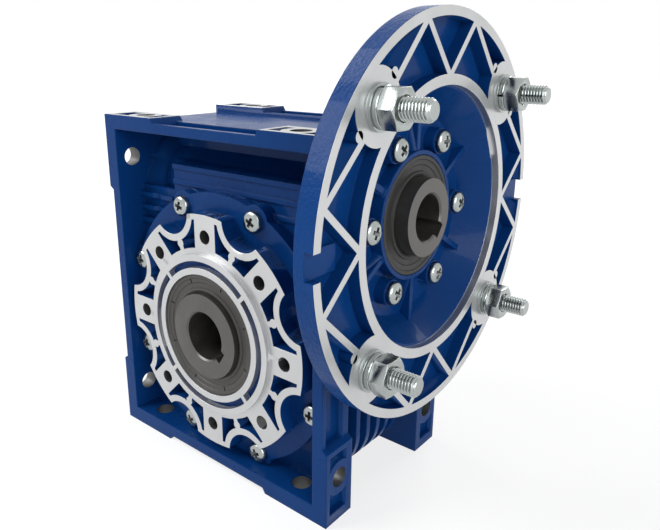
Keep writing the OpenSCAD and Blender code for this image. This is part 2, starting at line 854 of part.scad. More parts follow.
// Bronze rim, throated round the worm and toothed at the lead angle
module wheel_rim() {
    color([0.72, 0.52, 0.24]) in_output() difference() {
        rotate_extrude() difference() {
            translate([hub_r + seat_gap, -rim_w / 2]) square([wheel_outer_r - hub_r - seat_gap, rim_w]);
            translate([centre_z, 0]) circle(r = throat_r);
        }
        around(wheel_teeth) for (flare = [-1, 1])
            rotate([0, -lead_angle + flare * gap_flare, 0])
                linear_extrude(2 * rim_w, center = true) tooth_gap();
    }
}

// Outline of the worm across its axis, with one thread whose middle is at angle 0
function thread_r(a) =
    min(worm_tip_r, max(worm_root_r, worm_pitch_r + (thread_half - lead * a / 360) / tan(flank_angle)));
thread_tip_a = 360 / lead * (thread_half - gear_module * tan(flank_angle));
thread_root_a = 360 / lead * (thread_half + root_factor * gear_module * tan(flank_angle));
flank_steps = 6;
thread_angles = [
    0, thread_tip_a / 2,
    for (k = [0:flank_steps]) thread_tip_a + (thread_root_a - thread_tip_a) * k / flank_steps,
    (thread_root_a + 180) / 2
];
thread_side = [for (a = thread_angles) thread_r(a) * [cos(a), sin(a)]];
thread_outline = concat(
    thread_side,
    [[-worm_root_r, 0]],
    [for (k = [len(thread_side) - 1:-1:1]) [thread_side[k][0], -thread_side[k][1]]]
);

module worm_thread() {
    turns = worm_l / lead;
    steps_per_turn = 20;
    translate([0, 0, -worm_l / 2]) rotate(-90 - 180 * turns)
        linear_extrude(worm_l, twist = -360 * turns, slices = ceil(turns * steps_per_turn),
                       segments = len(thread_outline))
            polygon(thread_outline);
}

// Worm and hollow input shaft in one piece, z counted towards the motor
module worm_shaft() {
    shaft_r = input_bearing[0] / 2;
    tail_r = tail_bearing[0] / 2;
    neck_r = worm_root_r + 2.4;
    neck_overlap = 1;
    bore_r = input_bore_d / 2;
    bore_end = input_end_x - input_bore_l;
    cone_l = 10;
    key_end = 3;
    color([0.33, 0.32, 0.31]) in_worm() difference() {
        union() {
            worm_thread();
            disc(neck_r, worm_l / 2 - neck_overlap, bore_end);
            translate([0, 0, bore_end - shoulder_l - cone_l])
                cylinder(r1 = neck_r, r2 = shaft_r, h = cone_l);
            disc(shaft_r, bore_end - shoulder_l, input_end_x);
            disc(shaft_r + bearing_shoulder, input_bearing_in - shoulder_l, input_bearing_in);
            disc(neck_r, tail_bearing_in, neck_overlap - worm_l / 2);
            disc(tail_r + tail_shoulder, tail_bearing_in, tail_bearing_in + shoulder_l);
            disc(tail_r, tail_bearing_out - 1, tail_bearing_in + 1);
        }
        disc(bore_r, bore_end, input_end_x + 1);
        translate([0, 0, input_end_x - bore_chamfer])
            cylinder(r1 = bore_r, r2 = bore_r + bore_chamfer + eps, h = bore_chamfer + eps);
        rotate(input_key_turn)
            slab([0, bore_r + input_key_h], [-key_w / 2, key_w / 2],
                 [bore_end + key_end, input_end_x + 1]);
        ring(shaft_r - circlip_depth, shaft_r + 1, input_bearing_out, input_bearing_out + circlip_t + 0.1);
    }
}

module input_seal() {
    color([0.2, 0.19, 0.18]) in_worm()
        translate([0, 0, flange_hub_x - seal_w])
            shaft_seal(input_bearing[0], input_seal_d - 2 * seat_gap, seal_w);
}

// Retaining ring with its gap at local +X
module circlip(r_in, r_out) {
    difference() {
        ring(r_in, r_out, 0, circlip_t);
        slab([0, r_out + 1], [-circlip_gap / 2, circlip_gap / 2], [-1, circlip_t + 1]);
    }
}

module input_circlip() {
    r = input_bearing[0] / 2 - circlip_depth + seat_gap;
    color([0.3, 0.3, 0.3]) in_worm() translate([0, 0, input_bearing_out])
        circlip(r, r + circlip_w);
}

module tail_circlip() {
    r = tail_bearing[1] / 2 + circlip_depth - seat_gap;
    color([0.3, 0.3, 0.3]) in_worm() translate([0, 0, tail_bearing_out - circlip_t])
        circlip(r - circlip_w, r);
}

// Cap pressed into the housing behind the worm
module tail_cap() {
    r = tail_bearing[1] / 2;
    color([0.15, 0.15, 0.16]) in_worm() difference() {
        disc(r, tail_cap_x, tail_cap_x + tail_cap_t);
        disc(r - cap_wall, tail_cap_x + cap_skin, tail_cap_x + tail_cap_t + 1);
        disc(r - 2 * cap_wall, tail_cap_x - 1, tail_cap_x + cap_skin / 3);
    }
}

// Motor flange, z counted towards the motor
module flange_ribs() {
    inner = register_ring_r - 1;
    outer = flange_rim_in + 1;
    for (quarter = [0:3]) rotate(90 * quarter) for (side = [0, 1]) mirror([0, side]) {
        rib_line([inner, 0], outer * [cos(zigzag_angle), sin(zigzag_angle)]);
        rib_line(outer * [cos(zigzag_angle), sin(zigzag_angle)],
                 motor_pcd / 2 * [cos(45 - knob_angle), sin(45 - knob_angle)]);
    }
    around(4, 45) {
        translate([motor_pcd / 2, 0]) circle(r = motor_boss_r);
        for (side = [-1, 1]) rotate(side * knob_angle) translate([motor_pcd / 2 + knob_shift, 0]) circle(r = knob_r);
    }
}

// Straight rib between two points
module rib_line(a, b) {
    d = b - a;
    translate(a) rotate(atan2(d[1], d[0])) translate([0, -flange_rib_t / 2])
        square([norm(d), flange_rib_t]);
}

// Section of the flange in radius and height
module flange_section() {
    plate_x = flange_x - flange_t;
    rise = flange_x - register_depth;
    shelf_r = register_r - register_ledge;
    foot_r = shelf_r - (rise - dish_floor_x) * dish_lean;
    polygon([
        [input_seal_d / 2, flange_back_x],
        [land_r, flange_back_x],
        [foot_r + dish_t, flange_back_x],
        [register_ring_r - 1, plate_x - flange_web_t],
        [register_ring_r - 1, plate_x],
        [flange_r, plate_x],
        [flange_r, flange_x],
        [flange_rim_in, flange_x],
        [flange_rim_in, plate_x + flange_web_t],
        [register_ring_r, plate_x + flange_web_t],
        [register_ring_r, flange_x],
        [register_r, flange_x],
        [register_r, rise],
        [shelf_r, rise],
        [foot_r, dish_floor_x],
        [flange_hub_r, dish_floor_x],
        [flange_hub_r, flange_hub_x],
        [input_seal_d / 2, flange_hub_x]
    ]);
}

// Upright gusset between the hub and the dish
module flange_gusset() {
    rotate([90, 0, 0]) linear_extrude(flange_rib_t, center = true) polygon([
        [flange_hub_r - 1, dish_floor_x - 1],
        [dish_floor_r + dish_t + gusset_reach, dish_floor_x - 1],
        [flange_hub_r - 1, flange_hub_x - 1]
    ]);
}

module motor_flange() {
    plate_x = flange_x - flange_t;
    boss_end = flange_x - plate_x;
    color([0.05, 0.18, 0.55]) in_worm() difference() {
        union() {
            rotate_extrude() flange_section();
            translate([0, 0, plate_x]) linear_extrude(boss_end) difference() {
                intersection() {
                    flange_ribs();
                    circle(r = flange_rim_in + 1);
                }
                circle(r = register_ring_r - 1);
            }
            // Low tongues behind the notches
            for (side = [0, 1]) mirror([side, 0, 0])
                slab([flange_r - 20, flange_r - 1], [-notch_w / 2, notch_w / 2],
                     [plate_x, flange_x - notch_depth]);
            around(flange_screw_n) translate([flange_screw_r, 0, 0])
                disc(flange_boss_r, dish_floor_x - 1, flange_boss_x);
            around(flange_screw_n, 180 / flange_screw_n) flange_gusset();
        }
        for (side = [0, 1]) mirror([side, 0, 0])
            slab([flange_rim_in - 8, flange_r + 1], [-notch_w / 2, notch_w / 2],
                 [flange_x - notch_depth, flange_x + 1]);
        disc(input_seal_d / 2, flange_back_x - 1, flange_x);
        around(4, 45) translate([motor_pcd / 2, 0, 0]) disc(motor_hole_r, plate_x - 1, flange_x + 1);
        around(flange_screw_n) translate([flange_screw_r, 0, 0])
            disc(screw_d / 2 + screw_gap, flange_back_x - 1, flange_boss_x + 1);
    }
}

module flange_gasket() {
    color([0.35, 0.33, 0.3]) in_worm() difference() {
        translate([0, 0, flange_seat_x]) linear_extrude(gasket_t) difference() {
            flange_land();
            circle(r = input_bearing[1] / 2 + 1);
        }
        around(flange_screw_n) translate([flange_screw_r, 0, 0])
            disc(screw_d / 2 + screw_gap, flange_seat_x - 1, flange_back_x + 1);
    }
}

module flange_screws() {
    color([0.8, 0.8, 0.78]) in_worm() around(flange_screw_n)
        translate([flange_screw_r, 0, flange_boss_x]) screw(flange_screw_l);
}

module at_motor_bolts() {
    in_worm() around(4, 45) translate([motor_pcd / 2, 0, 0]) children();
}

// Hexagon over the flats
module hexagon(h) {
    cylinder(d = motor_bolt_af / cos(30), h = h, $fn = 6);
}

module motor_bolts() {
    plate_x = flange_x - flange_t;
    tip = bolt_tip;
    r = motor_bolt_d / 2;
    color([0.8, 0.8, 0.78]) at_motor_bolts() translate([0, 0, plate_x]) {
        translate([0, 0, -motor_head_h]) hexagon(motor_head_h);
        translate([0, 0, -eps]) cylinder(r = r, h = motor_bolt_l - tip + eps);
        translate([0, 0, motor_bolt_l - tip]) cylinder(r1 = r, r2 = r - tip, h = tip);
    }
}

module flat_washers() {
    color([0.8, 0.8, 0.78]) at_motor_bolts()
        ring(motor_bolt_d / 2 + 0.3, washer_r, flange_x, flange_x + washer_t);
}

module spring_washers() {
    low = flange_x + washer_t;
    color([0.75, 0.75, 0.73]) at_motor_bolts() difference() {
        ring(motor_bolt_d / 2 + 0.2, spring_washer_r, low, low + spring_washer_t);
        rotate([split_lean, 0, 0]) translate([0, 0, low + spring_washer_t / 2])
            cube([3 * spring_washer_r, split_gap, 4 * spring_washer_t]);
    }
}

module motor_nuts() {
    low = flange_x + washer_t + spring_washer_t;
    color([0.8, 0.8, 0.78]) at_motor_bolts() difference() {
        translate([0, 0, low]) intersection() {
            hexagon(motor_nut_h);
            // Corners of the hexagon are chamfered at the free end
            cylinder(r1 = motor_bolt_af / 2 + motor_nut_h * nut_slope, r2 = motor_bolt_af / 2, h = motor_nut_h);
        }
        disc(motor_bolt_d / 2 + thread_gap, low - 1, low + motor_nut_h + 1);
    }
}

housing();
front_cover();
rear_cover();
front_cover_screws();
rear_cover_screws();
front_cover_o_ring();
rear_cover_o_ring();
front_output_seal();
rear_output_seal();
front_bearing_outer();
front_bearing_inner();
front_bearing_balls();
front_bearing_cage();
rear_bearing_outer();
rear_bearing_inner();
rear_bearing_balls();
rear_bearing_cage();
output_shaft();
wheel_rim();
worm_shaft();
input_bearing_outer();
input_bearing_inner();
input_bearing_balls();
input_bearing_cage();
tail_bearing_outer();
tail_bearing_inner();
tail_bearing_balls();
tail_bearing_cage();
input_seal();
input_circlip();
tail_circlip();
tail_cap();
motor_flange();
flange_gasket();
flange_screws();
motor_bolts();
flat_washers();
spring_washers();
motor_nuts();
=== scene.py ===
"""Looks of the worm gear reducer: castings, screws, bolts, seals, finishes, studio and camera."""

import math

import bmesh
import bpy
from mathutils import Matrix, Vector


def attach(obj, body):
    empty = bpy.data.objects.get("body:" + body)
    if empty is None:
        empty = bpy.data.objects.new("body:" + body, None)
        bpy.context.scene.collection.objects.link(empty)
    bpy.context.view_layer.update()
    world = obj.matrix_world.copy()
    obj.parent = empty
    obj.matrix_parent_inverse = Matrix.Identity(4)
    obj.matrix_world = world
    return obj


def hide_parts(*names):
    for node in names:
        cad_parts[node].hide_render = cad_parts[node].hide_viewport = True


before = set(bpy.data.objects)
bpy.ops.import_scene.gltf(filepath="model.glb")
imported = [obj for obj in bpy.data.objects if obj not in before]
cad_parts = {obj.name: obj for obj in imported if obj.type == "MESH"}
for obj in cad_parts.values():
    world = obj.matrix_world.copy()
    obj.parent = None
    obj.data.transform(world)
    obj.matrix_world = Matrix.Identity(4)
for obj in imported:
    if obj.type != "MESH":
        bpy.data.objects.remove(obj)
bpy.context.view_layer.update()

# Sizes in millimetres, in the frame of the part
MM = 0.001
WORM_Z = 75.0

# Housing
TOP_Z = 119.0
TOP_PAD_H = 9.0
FOOT_Z = -86.0
FOOT_PAD_H = 11.0
FIXING_HOLE_R = 5.5
FIXING_X = 60.0
FIXING_Y = 45.0
SIDE_HOLE_INSET = 26.0
SIDE_WALL_X = 70.0

# Covers
FACE_Y = 56.0
SPIGOT_Y = 58.5
SLOT_IN_R = 39.8
SLOT_OUT_R = 43.7
SLOT_DEPTH = 3.7
SLOT_BRIDGE = 1.7
SLOT_STEPS = 24
SEAL_BORE_R = 36.0
COVER_SEAT_Y = 46.0
COVER_SCREW_R = 75.0
COVER_SCREW_L = 17.0
COVER_SCREWS = 8
FACE_BOLT_R = 57.5
FACE_BOLT_HOLE_R = 4.0
FACE_BOLTS = 8

# Motor flange
FLANGE_X = 112.5
FLANGE_R = 100.0
FLANGE_SCREW_R = 41.2
FLANGE_SCREW_L = 22.0
FLANGE_SCREWS = 6
FLANGE_BOSS_X = 98.2
REGISTER_R = 65.0
REGISTER_X = 108.5
HUB_R = 33.0
DISH_X = 91.5
DISH_FOOT_R = 53.6
DISH_LEAN = 0.62
GUSSET_X = 97.6
GUSSET_T = 3.0
WEB_X = 105.0
RING_R = 69.5
RIM_R = 96.0
LAND_R = 16.5
LAND_RISE = 0.02
KNOB_R = 2.5
KNOB_CIRCLE_R = 86.0
KNOB_ANGLE = 11.3
MOTOR_BOLT_R = 82.5
MOTOR_BOLTS = 4

# Screws with pan heads. The crown is given as (radius, height) from its seat to its top, and the
# cross by the half length and half width of one arm, at its floor and at its mouth. Reach, low and
# high bound the walls of a cross, and spread is the range of a screw's turn in degrees
HEAD_CROWN = ((6.15, 0), (6.15, 1.7), (5.95, 2.5), (5.4, 3.2), (4.3, 3.7), (2.6, 3.95), (0, 4.0))
HEAD_H = 4.0
SCREW_R = 3.0
SCREW_TIP_R = 2.4
SCREW_TIP_H = 0.8
CROSS_DEPTH = 2.3
CROSS_OVER = 0.6
CROSS_FLOOR = (1.485, 0.665)
CROSS_MOUTH = (3.564, 1.045)
CROSS_REACH = 3.6
CROSS_LOW = 1.0
CROSS_HIGH = 3.5
CROSS_SPREAD = 90

# Motor bolts, nuts and washers
HEX_FLATS = 17.0
CHAMFER_SHARE = 0.97
CHAMFER_SLOPE = 0.5
PLATE_T = 10.0
BOLT_R = 4.95
BOLT_HEAD_H = 6.4
BOLT_L = 35.0
BOLT_TIP = 1.2
SHANK_L = 9.6
THREAD_START = 9.5
THREAD_PITCH = 1.5
NUT_H = 8.0
NUT_BORE_R = 5.06
NUT_SINK_R = 6.6
NUT_SINK_H = 0.7
WASHER_BORE_R = 5.3
WASHER_R = 10.0
WASHER_T = 2.0
SPRING_BORE_R = 5.2
SPRING_R = 9.0
SPRING_T = 2.5
SPRING_GAP = 0.9
SPRING_SPREAD = 300

# Shape of a thread, as shares of its pitch and of its depth
THREAD_DEPTH = 0.61
THREAD_ROOT = 0.12
THREAD_FLANK = 0.72

# Oil seals. The section runs from the rim over the dish to the collar of the lip, and back behind
# them. A point is a distance in from the outer radius, out from the middle or out from the shaft,
# and a depth under the face. At the back it is a height over the seat
SHAFT_R = 25.0
OUTPUT_SEAL_R = 35.98
OUTPUT_SEAL_Y = 49.5
INPUT_SHAFT_R = 20.0
INPUT_SEAL_R = 30.96
INPUT_SEAL_X = 90.7
SEAL_W = 8.0
SEAL_RIM = ((0, 0.6), (0.5, 0), (2.2, 0), (2.6, 0.5), (3.2, 0.7))
SEAL_DISH = ((0.6, 0.8), (0, 1.3))
SEAL_COLLAR = ((2.9, 1.3), (2.5, 0.5), (1.7, 0.2), (0.9, 0.4), (0.05, 1.0), (0.05, 2.0), (1.45, 3.0))
SEAL_BACK_COLLAR = ((1.45, 1.5), (3.05, 0.6))
SEAL_BACK_RIM = ((2.0, 0.6), (1.5, 0))
SEAL_CREASE = 28
VENT_R = 32.2
VENT_Z = 7.3
VENT_SIZE = (2.4, 0.9, 1.2)
VENTS = 8

# Rounding of edges, by shading on castings and turned faces and by bevels on fasteners
CAST_EDGE_R = 1.1
TURNED_EDGE_R = 0.4
SCREW_EDGE = 0.12
BOLT_EDGE = 0.25
NUT_EDGE = 0.2
WASHER_EDGE = 0.2

# Share of a face's normal along an axis: over LEVEL the face lies across the axis, and under the
# others it is a wall along it
LEVEL = 0.9
UPRIGHT = 0.3
BORE_WALL = 0.5
RIM_WALL = 0.8

# How far the middle of a face may lie from the surface that its finish is for
FACE_SLACK = 0.12
PAD_SLACK = 0.3
FIXING_HOLE_SLACK = 0.4
FACE_HOLE_SLACK = 0.5
BORE_SLACK = 0.6
RIM_SLACK = 1.2
LEDGE_SLACK = 0.05

# Joining the triangles of a CAD mesh: distance in millimetres and angle in degrees
WELD_DIST = 0.002
FLAT_ANGLE = 0.6

# The floor lies this far under the feet
FLOOR_GAP = 0.2

# Studio, in metres: each lamp has its place, aim, width, height and power, and the camera stands
# where the one of the photograph stood
FLOOR_REACH = 6.0
FLOOR_COLOUR = (0.86, 0.86, 0.86, 1)
FLOOR_GLOW = 1.2
# The glow's share of the floor, 0.3 and 0.7 out from the middle
FLOOR_FADE = (0.62, 1.0)
SOFT_COLOUR = (0.93, 0.96, 1.0, 1)
SOFT_LEVEL = 0.17
LAMPS = (
    ("key_light", (-0.9, -0.9, 1.1), (0, 0, 0.03), 1.0, 0.8, 17),
    ("fill_light", (1.1, -0.5, 0.5), (0.05, 0, 0.03), 0.8, 0.8, 8),
    ("top_light", (-0.8, 0.05, 1.15), (0.05, 0, 0.05), 0.5, 0.5, 3.5),
    ("back_light", (-0.1, 1.2, 0.9), (0, 0, 0.05), 0.9, 0.6, 8),
)
CAMERA_PLACE = (0.2592, -0.279, 0.1549)
CAMERA_TILT = 16.44
CAMERA_TURN = 40.22
CAMERA_LENS = 35.17
CAMERA_SHIFT = (0.0403, -0.0356)

# Places: local z points out of the front face, out of the rear face, or towards the motor
AT_FRONT = Matrix(((1, 0, 0, 0), (0, 0, -1, 0), (0, 1, 0, 0), (0, 0, 0, 1)))
AT_REAR = Matrix(((-1, 0, 0, 0), (0, 0, 1, 0), (0, 1, 0, 0), (0, 0, 0, 1)))
AT_MOTOR = Matrix(((0, 0, 1, 0), (1, 0, 0, 0), (0, 1, 0, WORM_Z * MM), (0, 0, 0, 1)))
# Turns a section drawn as radius and height so that its height is local z
GUSSET_UPRIGHT = Matrix(((1, 0, 0, 0), (0, 0, -1, 0), (0, 1, 0, 0), (0, 0, 0, 1)))


def turned(steps, count):
    """A turn about local z by some steps of a circle that holds count of them."""
    return Matrix.Rotation(math.radians(360 / count * steps), 4, "Z")


# Materials

def new_material(name):
    material = bpy.data.materials.new(name)
    material.use_nodes = True
    tree = material.node_tree
    shader = tree.nodes["Principled BSDF"]
    return material, tree, shader


def add(tree, kind, **settings):
    item = tree.nodes.new(kind)
    for key, value in settings.items():
        setattr(item, key, value)
    return item


def noise(tree, coords, scale, detail=3.0, roughness=0.5):
    item = add(tree, "ShaderNodeTexNoise")
    item.inputs["Scale"].default_value = scale
    item.inputs["Detail"].default_value = detail
    item.inputs["Roughness"].default_value = roughness
    tree.links.new(coords, item.inputs["Vector"])
    return item.outputs["Fac"]


def remap(tree, value, low, high):
    """Spreads a value from 0.3 to 0.7, where a noise mostly stays, over low to high."""
    item = add(tree, "ShaderNodeMapRange")
    item.inputs["From Min"].default_value = 0.3
    item.inputs["From Max"].default_value = 0.7
    item.inputs["To Min"].default_value = low
    item.inputs["To Max"].default_value = high
    tree.links.new(value, item.inputs["Value"])
    return item.outputs["Result"]


def math_node(tree, operation, a, b=None):
    item = add(tree, "ShaderNodeMath", operation=operation)
    for socket, value in zip(item.inputs, (a, b)):
        if value is None:
            continue
        if isinstance(value, (int, float)):
            socket.default_value = value
        else:
            tree.links.new(value, socket)
    return item.outputs[0]


def colour_between(tree, value, first, second):
    """Mixes two colours. Sockets 6 and 7 and output 2 of the node are its colour ones."""
    item = add(tree, "ShaderNodeMix", data_type="RGBA")
    tree.links.new(value, item.inputs["Factor"])
    item.inputs[6].default_value = (*first, 1)
    item.inputs[7].default_value = (*second, 1)
    return item.outputs[2]


def bump(tree, shader, height, strength, distance, edge_r=0.0):
    """Relief of a surface, over edges that look rounded by a radius in millimetres."""
    item = add(tree, "ShaderNodeBump")
    item.inputs["Strength"].default_value = strength
    item.inputs["Distance"].default_value = distance
    tree.links.new(height, item.inputs["Height"])
    if edge_r:
        soft = add(tree, "ShaderNodeBevel", samples=6)
        soft.inputs["Radius"].default_value = edge_r * MM
        tree.links.new(soft.outputs["Normal"], item.inputs["Normal"])
    tree.links.new(item.outputs["Normal"], shader.inputs["Normal"])


def object_coords(tree):
    return add(tree, "ShaderNodeTexCoord").outputs["Object"]


def paint_material(name, dark, light, grain, depth):
    """Sprayed enamel on a casting: colour drift, fine orange peel and the grain of the casting.

    In this and the other finishes a grain is in cells to the metre, and a depth in metres.
    """
    material, tree, shader = new_material(name)
    coords = object_coords(tree)
    drift = noise(tree, coords, 28, 2)
    tree.links.new(colour_between(tree, drift, dark, light), shader.inputs["Base Color"])
    rough = remap(tree, noise(tree, coords, 60, 4), 0.24, 0.36)
    tree.links.new(rough, shader.inputs["Roughness"])
    shader.inputs["Specular IOR Level"].default_value = 0.05
    shader.inputs["Coat Weight"].default_value = 0.1
    shader.inputs["Coat Roughness"].default_value = 0.06
    peel = noise(tree, coords, grain, 2, 0.45)
    cast = noise(tree, coords, grain / 4, 3, 0.55)
    height = math_node(tree, "ADD", peel, math_node(tree, "MULTIPLY", cast, 1.6))
    bump(tree, shader, height, 1.0, depth, CAST_EDGE_R)
    return material


def radius_from(tree, coords, first, second, offset=0.0):
    """Distance from an axis, from two of the coordinates, the second less an offset."""
    split = add(tree, "ShaderNodeSeparateXYZ")
    tree.links.new(coords, split.inputs[0])
    a = split.outputs[first]
    b = math_node(tree, "SUBTRACT", split.outputs[second], offset)
    squares = math_node(tree, "ADD", math_node(tree, "MULTIPLY", a, a), math_node(tree, "MULTIPLY", b, b))
    return math_node(tree, "SQRT", squares)


def turned_material(name, axis, pitch, base, rough, edge_r=TURNED_EDGE_R):
    """Bare metal with fine tool marks: rings round the output or worm axis, or straight when flat."""
    material, tree, shader = new_material(name)
    coords = object_coords(tree)
    if axis == "output":
        radius = radius_from(tree, coords, 0, 2)
    elif axis == "worm":
        radius = radius_from(tree, coords, 1, 2, WORM_Z * MM)
    else:
        split = add(tree, "ShaderNodeSeparateXYZ")
        tree.links.new(coords, split.inputs[0])
        radius = math_node(tree, "ADD", split.outputs[0], split.outputs[1])
    wobble = math_node(tree, "MULTIPLY", noise(tree, coords, 90, 3), 0.6 * MM)
    phase = math_node(tree, "MULTIPLY", math_node(tree, "ADD", radius, wobble), 2 * math.pi / (pitch * MM))
    rings = math_node(tree, "SINE", phase)
    cloud = noise(tree, coords, 45, 4)
    dull = tuple(0.78 * c for c in base)
    tree.links.new(colour_between(tree, cloud, dull, base), shader.inputs["Base Color"])
    mixed = math_node(tree, "ADD", math_node(tree, "MULTIPLY", rings, 0.08), cloud)
    tree.links.new(remap(tree, mixed, rough - 0.06, rough + 0.1), shader.inputs["Roughness"])
    shader.inputs["Metallic"].default_value = 0.85
    grain = noise(tree, coords, 2600, 2)
    height = math_node(tree, "ADD", math_node(tree, "MULTIPLY", rings, 0.5), grain)
    bump(tree, shader, height, 0.5, 0.00002, edge_r)
    return material


def metal_material(name, first, second, rough, spread, grain, depth, metallic=1.0):
    """Metal with a cloudy finish, rougher and smoother by spread, and a fine grain."""
    material, tree, shader = new_material(name)
    coords = object_coords(tree)
    cloud = noise(tree, coords, 140, 4, 0.6)
    tree.links.new(colour_between(tree, cloud, first, second), shader.inputs["Base Color"])
    tree.links.new(remap(tree, cloud, rough - spread, rough + spread), shader.inputs["Roughness"])
    shader.inputs["Metallic"].default_value = metallic
    bump(tree, shader, noise(tree, coords, grain, 3, 0.6), 0.6, depth)
    return material


def rubber_material(name, first, second, rough, grain, depth):
    """Rubber or fibre with a dull, slightly mottled skin."""
    material, tree, shader = new_material(name)
    coords = object_coords(tree)
    cloud = noise(tree, coords, 220, 4, 0.6)
    tree.links.new(colour_between(tree, cloud, first, second), shader.inputs["Base Color"])
    tree.links.new(remap(tree, cloud, rough - 0.06, rough + 0.08), shader.inputs["Roughness"])
    bump(tree, shader, noise(tree, coords, grain, 2), 0.5, depth)
    return material


PAINT = paint_material("blue_enamel", (0.002, 0.036, 0.165), (0.004, 0.052, 0.215),
                       grain=900, depth=0.00006)
# The flange's outer edge: coarser cast grain, and a lighter blue that is a painted highlight
RIM_PAINT_LIT = paint_material("blue_enamel_cast_rim", (0.003, 0.042, 0.185), (0.006, 0.062, 0.25),
                           grain=620, depth=0.0003)
FACED = (0.64, 0.645, 0.65)
FACED_COVER = turned_material("faced_aluminium_cover", "output", pitch=0.5, base=FACED, rough=0.34)
FACED_FLANGE = turned_material("faced_aluminium_flange", "worm", pitch=0.6, base=FACED, rough=0.34)
FACED_LAND = turned_material("faced_aluminium_land", "worm", pitch=0.6, base=FACED, rough=0.34,
                             edge_r=0.0)
MILLED = turned_material("milled_aluminium", "flat", pitch=0.8, base=(0.6, 0.605, 0.61), rough=0.36)
# Walls of drilled holes: bare metal, darker than the milled faces by painted shade
DRILLED_SHADED = metal_material("drilled_hole", (0.1, 0.1, 0.1), (0.18, 0.18, 0.18),
                         rough=0.5, spread=0.08, grain=1500, depth=0.00003, metallic=0.8)
ZINC = metal_material("bright_zinc_plate", (0.3, 0.33, 0.325), (0.46, 0.49, 0.48),
                      rough=0.22, spread=0.06, grain=1800, depth=0.00002)
# Zinc darkened for the walls and floor of cross recesses: painted shade
RECESS_SHADE = metal_material("drive_recess", (0.06, 0.066, 0.066), (0.12, 0.13, 0.128),
                        rough=0.45, spread=0.06, grain=1800, depth=0.00002)
DARK_STEEL = metal_material("phosphated_steel", (0.09, 0.086, 0.081), (0.135, 0.13, 0.122),
                            rough=0.36, spread=0.07, grain=1500, depth=0.00003, metallic=0.75)
BRONZE = metal_material("tin_bronze", (0.55, 0.34, 0.12), (0.68, 0.44, 0.18),
                        rough=0.3, spread=0.07, grain=1500, depth=0.00003)
BEARING_STEEL = metal_material("ground_bearing_steel", (0.6, 0.6, 0.61), (0.72, 0.72, 0.73),
                               rough=0.16, spread=0.04, grain=2200, depth=0.00001)
CAGE_STEEL = metal_material("pressed_cage_steel", (0.42, 0.41, 0.39), (0.52, 0.51, 0.49),
                            rough=0.34, spread=0.06, grain=1600, depth=0.00002)
SPRING_STEEL = metal_material("blued_spring_steel", (0.05, 0.05, 0.055), (0.09, 0.09, 0.095),
                              rough=0.34, spread=0.06, grain=1600, depth=0.00002)
SEAL_RUBBER = rubber_material("seal_rubber", (0.044, 0.041, 0.037), (0.062, 0.058, 0.053),
                              rough=0.46, grain=1400, depth=0.00003)
INPUT_RUBBER = rubber_material("input_seal_rubber", (0.014, 0.014, 0.014), (0.024, 0.023, 0.022),
                               rough=0.5, grain=1400, depth=0.00003)
BLACK_RUBBER = rubber_material("black_rubber", (0.012, 0.012, 0.013), (0.022, 0.022, 0.023),
                               rough=0.6, grain=1600, depth=0.00002)
GASKET = rubber_material("gasket_fibre", (0.2, 0.18, 0.15), (0.3, 0.27, 0.23),
                         rough=0.8, grain=900, depth=0.00004)


# Mesh helpers

def plain_mesh(obj, name):
    """The evaluated object as a plain mesh object, and the source removed."""
    depsgraph = bpy.context.evaluated_depsgraph_get()
    mesh = bpy.data.meshes.new_from_object(obj.evaluated_get(depsgraph))
    old = obj.data
    bpy.data.objects.remove(obj, do_unlink=True)
    if not old.users:
        bpy.data.meshes.remove(old)
    mesh.name = name
    result = bpy.data.objects.new(name, mesh)
    bpy.context.collection.objects.link(result)
    return result


def smooth_mesh(mesh, angle=32):
    """Smooth shading, with the edges over an angle in degrees kept sharp."""
    mesh.polygons.foreach_set("use_smooth", [True] * len(mesh.polygons))
    mesh.set_sharp_from_angle(angle=math.radians(angle))
    mesh.update()


def finish_faces(obj, finishes, choose):
    """Gives each face one of the finishes by its middle, in millimetres, and its normal."""
    mesh = obj.data
    mesh.materials.clear()
    for material in finishes:
        mesh.materials.append(material)
    for polygon in mesh.polygons:
        polygon.material_index = choose(polygon.center / MM, polygon.normal)


def object_from(bm, name):
    mesh = bpy.data.meshes.new(name)
    bm.to_mesh(mesh)
    bm.free()
    obj = bpy.data.objects.new(name, mesh)
    bpy.context.collection.objects.link(obj)
    return obj


def lathe(name, profile, segments=64):
    """A solid of revolution about z from (radius, z) points in millimetres, listed round the section."""
    bm = bmesh.new()
    rings = []
    for r, z in profile:
        if r == 0:
            rings.append([bm.verts.new((0, 0, z * MM))])
            continue
        turn = [2 * math.pi * k / segments for k in range(segments)]
        places = [(r * MM * math.cos(a), r * MM * math.sin(a), z * MM) for a in turn]
        rings.append([bm.verts.new(spot) for spot in places])
    for index, low in enumerate(rings):
        high = rings[(index + 1) % len(rings)]
        if len(low) == 1 and len(high) == 1:
            continue
        for k in range(segments):
            j = (k + 1) % segments
            corners = [low[k % len(low)], low[j % len(low)], high[j % len(high)], high[k % len(high)]]
            bm.faces.new(list(dict.fromkeys(corners)))
    bmesh.ops.recalc_face_normals(bm, faces=bm.faces)
    return object_from(bm, name)


def prism(name, points, low, high):
    """A prism along z over a closed outline of (x, y) points in millimetres."""
    bm = bmesh.new()
    bottom = [bm.verts.new((x * MM, y * MM, low * MM)) for x, y in points]
    top = [bm.verts.new((x * MM, y * MM, high * MM)) for x, y in points]
    bm.faces.new(bottom)
    bm.faces.new(top)
    for k in range(len(points)):
        j = (k + 1) % len(points)
        bm.faces.new((bottom[k], bottom[j], top[j], top[k]))
    bmesh.ops.recalc_face_normals(bm, faces=bm.faces)
    return object_from(bm, name)


def disc(name, x, r, low, high, y=0.0, segments=64):
    """A round plate along z about the point (x, y)."""
    turn = [2 * math.pi * k / segments for k in range(segments)]
    return prism(name, [(x + r * math.cos(a), y + r * math.sin(a)) for a in turn], low, high)


